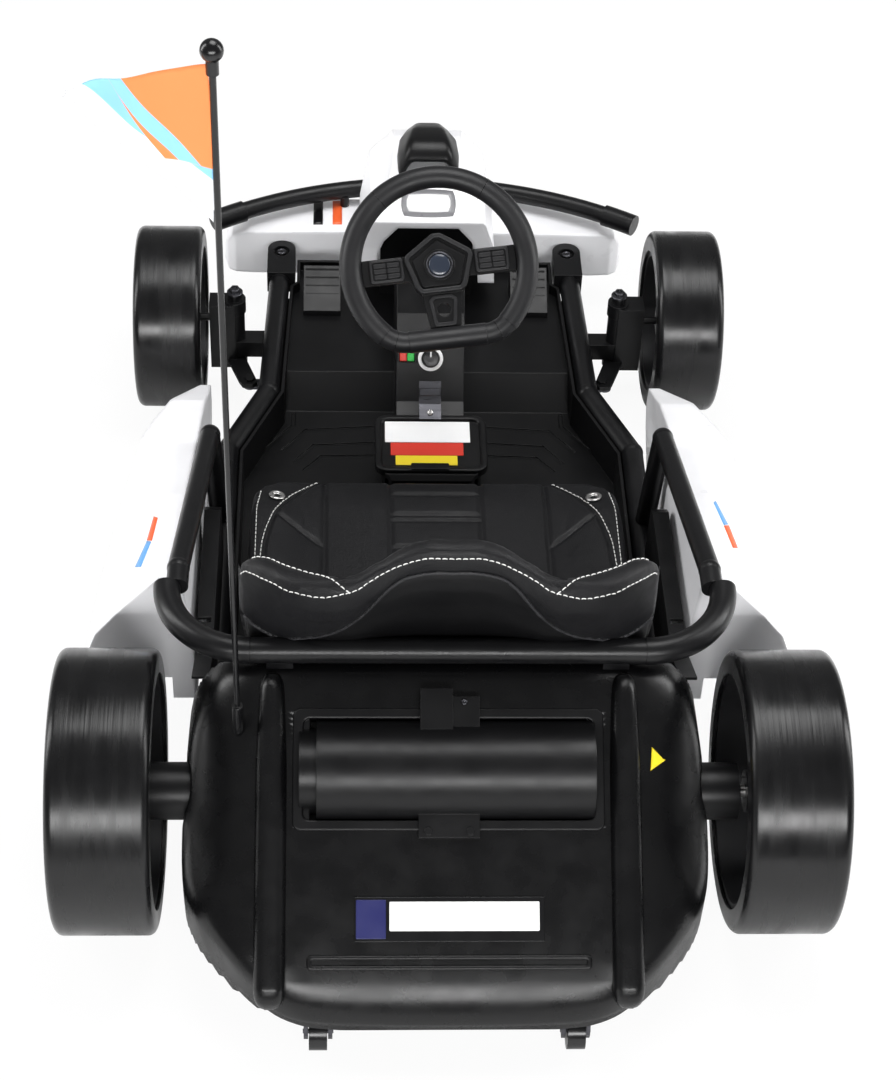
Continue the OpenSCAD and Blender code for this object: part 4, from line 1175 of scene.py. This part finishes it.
def cover_depth(planes, x, y, z):
    """How far a point lies outside the rounded cover; negative inside it."""
    x = abs(x)
    depth = -1000.0
    for nx, ny, nz, d in planes:
        far = nx * x + ny * y + nz * z - d
        gap = COVER_ROUND_MM - abs(far - depth)
        depth = max(far, depth)
        if gap > 0:
            depth += gap * gap / (4 * COVER_ROUND_MM)
    return depth


def cover_hit(planes, start, ahead):
    """Distance along a ray from inside the cover to its rounded skin, or to its open foot or front."""
    reach = min((d - nx * start.x - ny * start.y - nz * start.z) / (nx * ahead.x + ny * ahead.y + nz * ahead.z)
                for nx, ny, nz, d in planes if nx * ahead.x + ny * ahead.y + nz * ahead.z > 1e-4)
    to_foot = (COVER_LOW - start.z) / ahead.z if ahead.z < 0 else 900.0
    to_front = (COVER_FRONT - start.y) / ahead.y if ahead.y > 0 else 900.0
    edge = min(to_foot, to_front)
    if edge < reach and cover_depth(planes, *(start + ahead * edge)) <= 0:
        return edge, True
    near, far = max(0, reach - 60), reach
    for _ in range(10):
        middle = (near + far) / 2
        if cover_depth(planes, *(start + ahead * middle)) > 0:
            far = middle
        else:
            near = middle
    return middle, False


RIB_LINE_MM = [(-29, -7, 0), (-27, -5.5, 5), (-22, -3.4, 10), (-13, -1, 12.5), (0, 0, 13), (60, 0, 13),
               (160, 0, 13),
               (260, 0, 13), (296, 0, 12.5), (309, 0, 10), (316, 0, 5), (318, 0, 0)]


def make_ribs():
    """Two long soft ribs down the slope and over its foot, and the frame of the long groove."""
    parts = []
    for s in (-1, 1):
        rings = []
        for v, base, height in fine_rib_line():
            half = 13 + 3.5 * height / 13 * smooth(330, 200, v)
            half *= max(0.15, height / 13) ** 0.5
            ring = []
            for k in range(25):
                a = pi * k / 24
                du = half * copysign(abs(cos(a)) ** 0.75, cos(a))
                ring.append(SLOPE.at(s * 185 + du, v, base - 4 + (height + 4) * sin(a) ** 0.75))
            rings.append(ring)
        parts.append(loft(rings))
    parts.append(rim_of(SLOPE, rounded(147, 7.5, 5, (0, 18)), rounded(142, 3, 2, (0, 18)), -2, 1.4, 1.2))
    piece = add_piece("cover_ribs", joined(parts), "black_shell")
    outward(piece)


def fine_rib_line():
    """The rib's line in small even steps: place along the slope, base and height."""
    path = smooth_path([(v / 10, base, height) for v, base, height in RIB_LINE_MM], 5)
    return [(p.x * 10, p.y, max(0.2, p.z)) for p in path]


def make_cover():
    """Rear cover as one smooth moulding with rounded edges and the opening for the drum."""
    planes = cover_planes()
    points, on_rim = [], []
    for i in range(COVER_STEPS + 1):
        u = -1 + 2 * i / COVER_STEPS
        share = min(1, abs(u) / EVEN_SHARE)
        lean = atan(EVEN_REACH_MM * share / EVEN_RISE_MM)
        lean = copysign(lean + (pi / 2 - lean) * max(0, (abs(u) - EVEN_SHARE) / (1 - EVEN_SHARE)), u)
        for k in range(COVER_ROWS + 1):
            a = radians(-72) + radians(360) * k / COVER_ROWS
            out = Vector((0, cos(a), sin(a)))
            start = Vector((0, 0, AXLE_Z)) + out * SLEEVE_MM
            ahead = (Vector((1, 0, 0)) * sin(lean) * 1.9 + out * cos(lean)).normalized()
            reach, rim = cover_hit(planes, start, Vector((abs(ahead.x), ahead.y, ahead.z)))
            p = start + ahead * reach
            points.append(p)
            on_rim.append(rim)
    faces = []
    stride = COVER_ROWS + 1
    for i in range(COVER_STEPS):
        for k in range(COVER_ROWS):
            face = (i * stride + k, i * stride + k + 1, (i + 1) * stride + k + 1, (i + 1) * stride + k)
            centre = sum((points[j] for j in face), Vector()) / 4 - SLOPE_FOOT_MM
            v, h = centre.y * cos(TILT) + centre.z * sin(TILT), centre.dot(SLOPE.out)
            in_bay = abs(centre.x) < BAY_HALF_MM[0] and abs(v - BAY_MIDDLE_MM) < BAY_HALF_MM[1] and h > -20
            if not all(on_rim[j] for j in face) and not in_bay:
                faces.append(face)
    places = [at(*p) for p in points]
    made = thick_skin(places, outward_normals(places, faces), faces, 0.0, COVER_WALL)
    piece = add_piece("rear_cover_shell", made, "black_shell")
    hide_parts("rear_cover")
    return piece


def outward_normals(points, faces):
    """Normals of an open skin at its points, on the side that the rear slope faces."""
    mesh = bpy.data.meshes.new("skin_work")
    mesh.from_pydata([tuple(p) for p in points], [], faces)
    normals = [v.normal.copy() for v in mesh.vertices]
    bpy.data.meshes.remove(mesh)
    used = sorted({i for face in faces for i in face})
    if normals[used[len(used) // 2]].dot(Vector((0, -0.5, 1))) < 0:
        faces[:] = [face[::-1] for face in faces]
        normals = [-n for n in normals]
    return normals


def thick_skin(points, normals, faces, rise, sink):
    """Closed shell from a skin: one side rises along the normals, the other sinks."""
    used = sorted({i for face in faces for i in face})
    place = {i: k for k, i in enumerate(used)}
    faces = [tuple(place[i] for i in face) for face in faces]
    top = [points[i] + normals[i] * rise for i in used]
    low = [points[i] - normals[i] * sink for i in used]
    sides = dict.fromkeys((a, b) for face in faces for a, b in zip(face, face[1:] + face[:1]))
    n = len(used)
    walls = [(b, a, a + n, b + n) for a, b in sides if (b, a) not in sides]
    return top + low, faces + [tuple(i + n for i in face[::-1]) for face in faces] + walls


def make_bay_rim():
    """Soft rim round the drum's bay on the rear slope."""
    parts = [rim_of(SLOPE, rounded(163, 64, 9, (0, 217)), rounded(152, 53, 7, (0, 217)), -7, 1.6, 1.6)]
    for s in (-1, 1):
        parts.append(slab(SLOPE, rounded(6, 54, 2, (s * 150.5, 217)), -29, -3, 1.5))
    add_piece("bay_rim", joined(parts), "black_plastic", flat=True)


def make_pan_flange():
    """Lips of the floor pan that reach under the rails and close the view to the floor."""
    parts = []
    path = [(238, 100), (238, 590), (256 - 18, 596), (207 - 17, 706), (196 - 19, 920)]
    for s in (-1, 1):
        rings = []
        for x, y in path:
            outer = x + 34 if y < 600 else x + 30
            corners = ((x + 2, 80), (x + 2, 84.6), (outer, 84.6), (outer, 80))
            rings.append([at(s * side, y, z) for side, z in corners])
        parts.append(loft(rings))
    piece = add_piece("pan_lips", joined(parts), "black_plastic", flat=True)
    outward(piece)


SCOOP_MM = [(946, 38, 27, 300, 266), (955, 40, 27, 313, 268), (975, 41, 25.5, 314.5, 275),
            (1000, 38, 22, 311, 283),
            (1025, 30, 17, 302, 280), (1046, 20, 10, 282, 272)]


def scoop_section(y, low_half, top_half, top, low):
    outline = [(low_half, low), (low_half, low + (top - low) * 0.35), (top_half + 3, top - 5),
               (top_half - 3, top),
               (-top_half + 3, top), (-top_half - 3,
                                      top - 5), (-low_half, low + (top - low) * 0.35), (-low_half, low)]
    return [at(x, y, z) for x, z in softened(outline, 7, 5)]


def make_scoop():
    """Rounded air scoop with a hollow mouth."""
    inner = [(984, 24, 17, 293, 277), (950, 30, 21, 294.5, 269), (944.5, 33, 23.5, 296.5, 267)]
    rings = [scoop_section(*values) for values in inner + SCOOP_MM]
    piece = add_piece("nose_scoop_shell", loft(rings), "black_plastic")
    outward(piece)
    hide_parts("nose_scoop")


def pod_point(x, y):
    """Point 30 mm off the sloping side of a pod, at millimetres x and y."""
    out = Vector((copysign(0.69, x), 0, 0.72))
    return at(x, y, 256.7 - (abs(x) - 317.5) * 0.958) + out * 0.03


def make_pod_flashes():
    """Two plain slanting colour flashes on each pod."""
    pods = node_tree_of("side_pods")
    shapes = (("pod_flash_blue_left", ((-344, 259), (-337, 253), (-327, 283), (-332, 289)), "sky_vinyl"),
              ("pod_flash_orange_left", ((-332, 290), (-326, 284), (-321, 316), (-326, 323)), "orange_vinyl"),
              ("pod_flash_blue_right", ((315, 340), (318, 346), (331, 320), (325, 313)), "sky_vinyl"),
              ("pod_flash_orange_right", ((325, 312), (332, 319), (340, 290), (333, 284)), "orange_vinyl"))
    for name, corners, material in shapes:
        side = copysign(1, corners[0][0])
        inward = Vector((-side * 0.69, 0, -0.72))
        add_sticker(name, sticker(pods, [pod_point(x, y) for x, y in corners], inward, step=0.004), material)


def add_sticker(name, made, finish):
    """Piece of coloured film, where the surface under it was found."""
    if made is not None:
        add_piece(name, made, finish)


def make_fasteners():
    """Bolts of the rail clamps, the kingpin nuts and the cover's tab screws."""
    flat = Plane((0, 0, 0), 0)
    dark = [bolt_head(flat, (s * 196, 984), 6.2, 112.5) for s in (-1, 1)]
    dark += [bolt_head(SLOPE, (u, 286), 3.4, 12.2) for u in (-14, 16)]
    add_piece("clamp_bolts", joined(dark), "dark_steel")
    for s, side in ((-1, "left"), (1, "right")):
        top = dropped(node_tree_of("knuckle_" + side), at(s * 254, 838, 300), Vector((0, 0, -1)), 0)
        cap = Plane((0, 0, top.z * 1000), 0)
        nut = turned_part(cap, (s * 254, 838), [(10.5, -0.3), (10.5, 1.6), (9.6, 2.4), (7.4, 2.4)], 32)
        hexagon = turned_part(cap, (s * 254, 838), [(7.2, 2), (7.2, 7), (6.2, 8), (3.6, 8), (3.4, 6)], 6)
        add_piece("kingpin_nut_" + side, joined([nut, hexagon]), "dark_steel", "knuckle_" + side,
                  flat=True)


def main():
    make_camera()
    make_floor()
    make_lights()
    make_finishes()
    dress_nodes()
    back = make_seat_back()
    cushion = make_seat_cushion()
    make_seat_trim(back, cushion)
    make_seat_shell(back)
    make_wheel_trim()
    make_dashboard()
    rear_cover = make_cover()
    make_stickers(rear_cover)
    make_pod_flashes()
    make_ribs()
    make_bay_rim()
    make_pan_flange()
    make_scoop()
    make_fasteners()
    make_flag()
    bpy.context.scene.view_settings.view_transform = "Standard"


main()
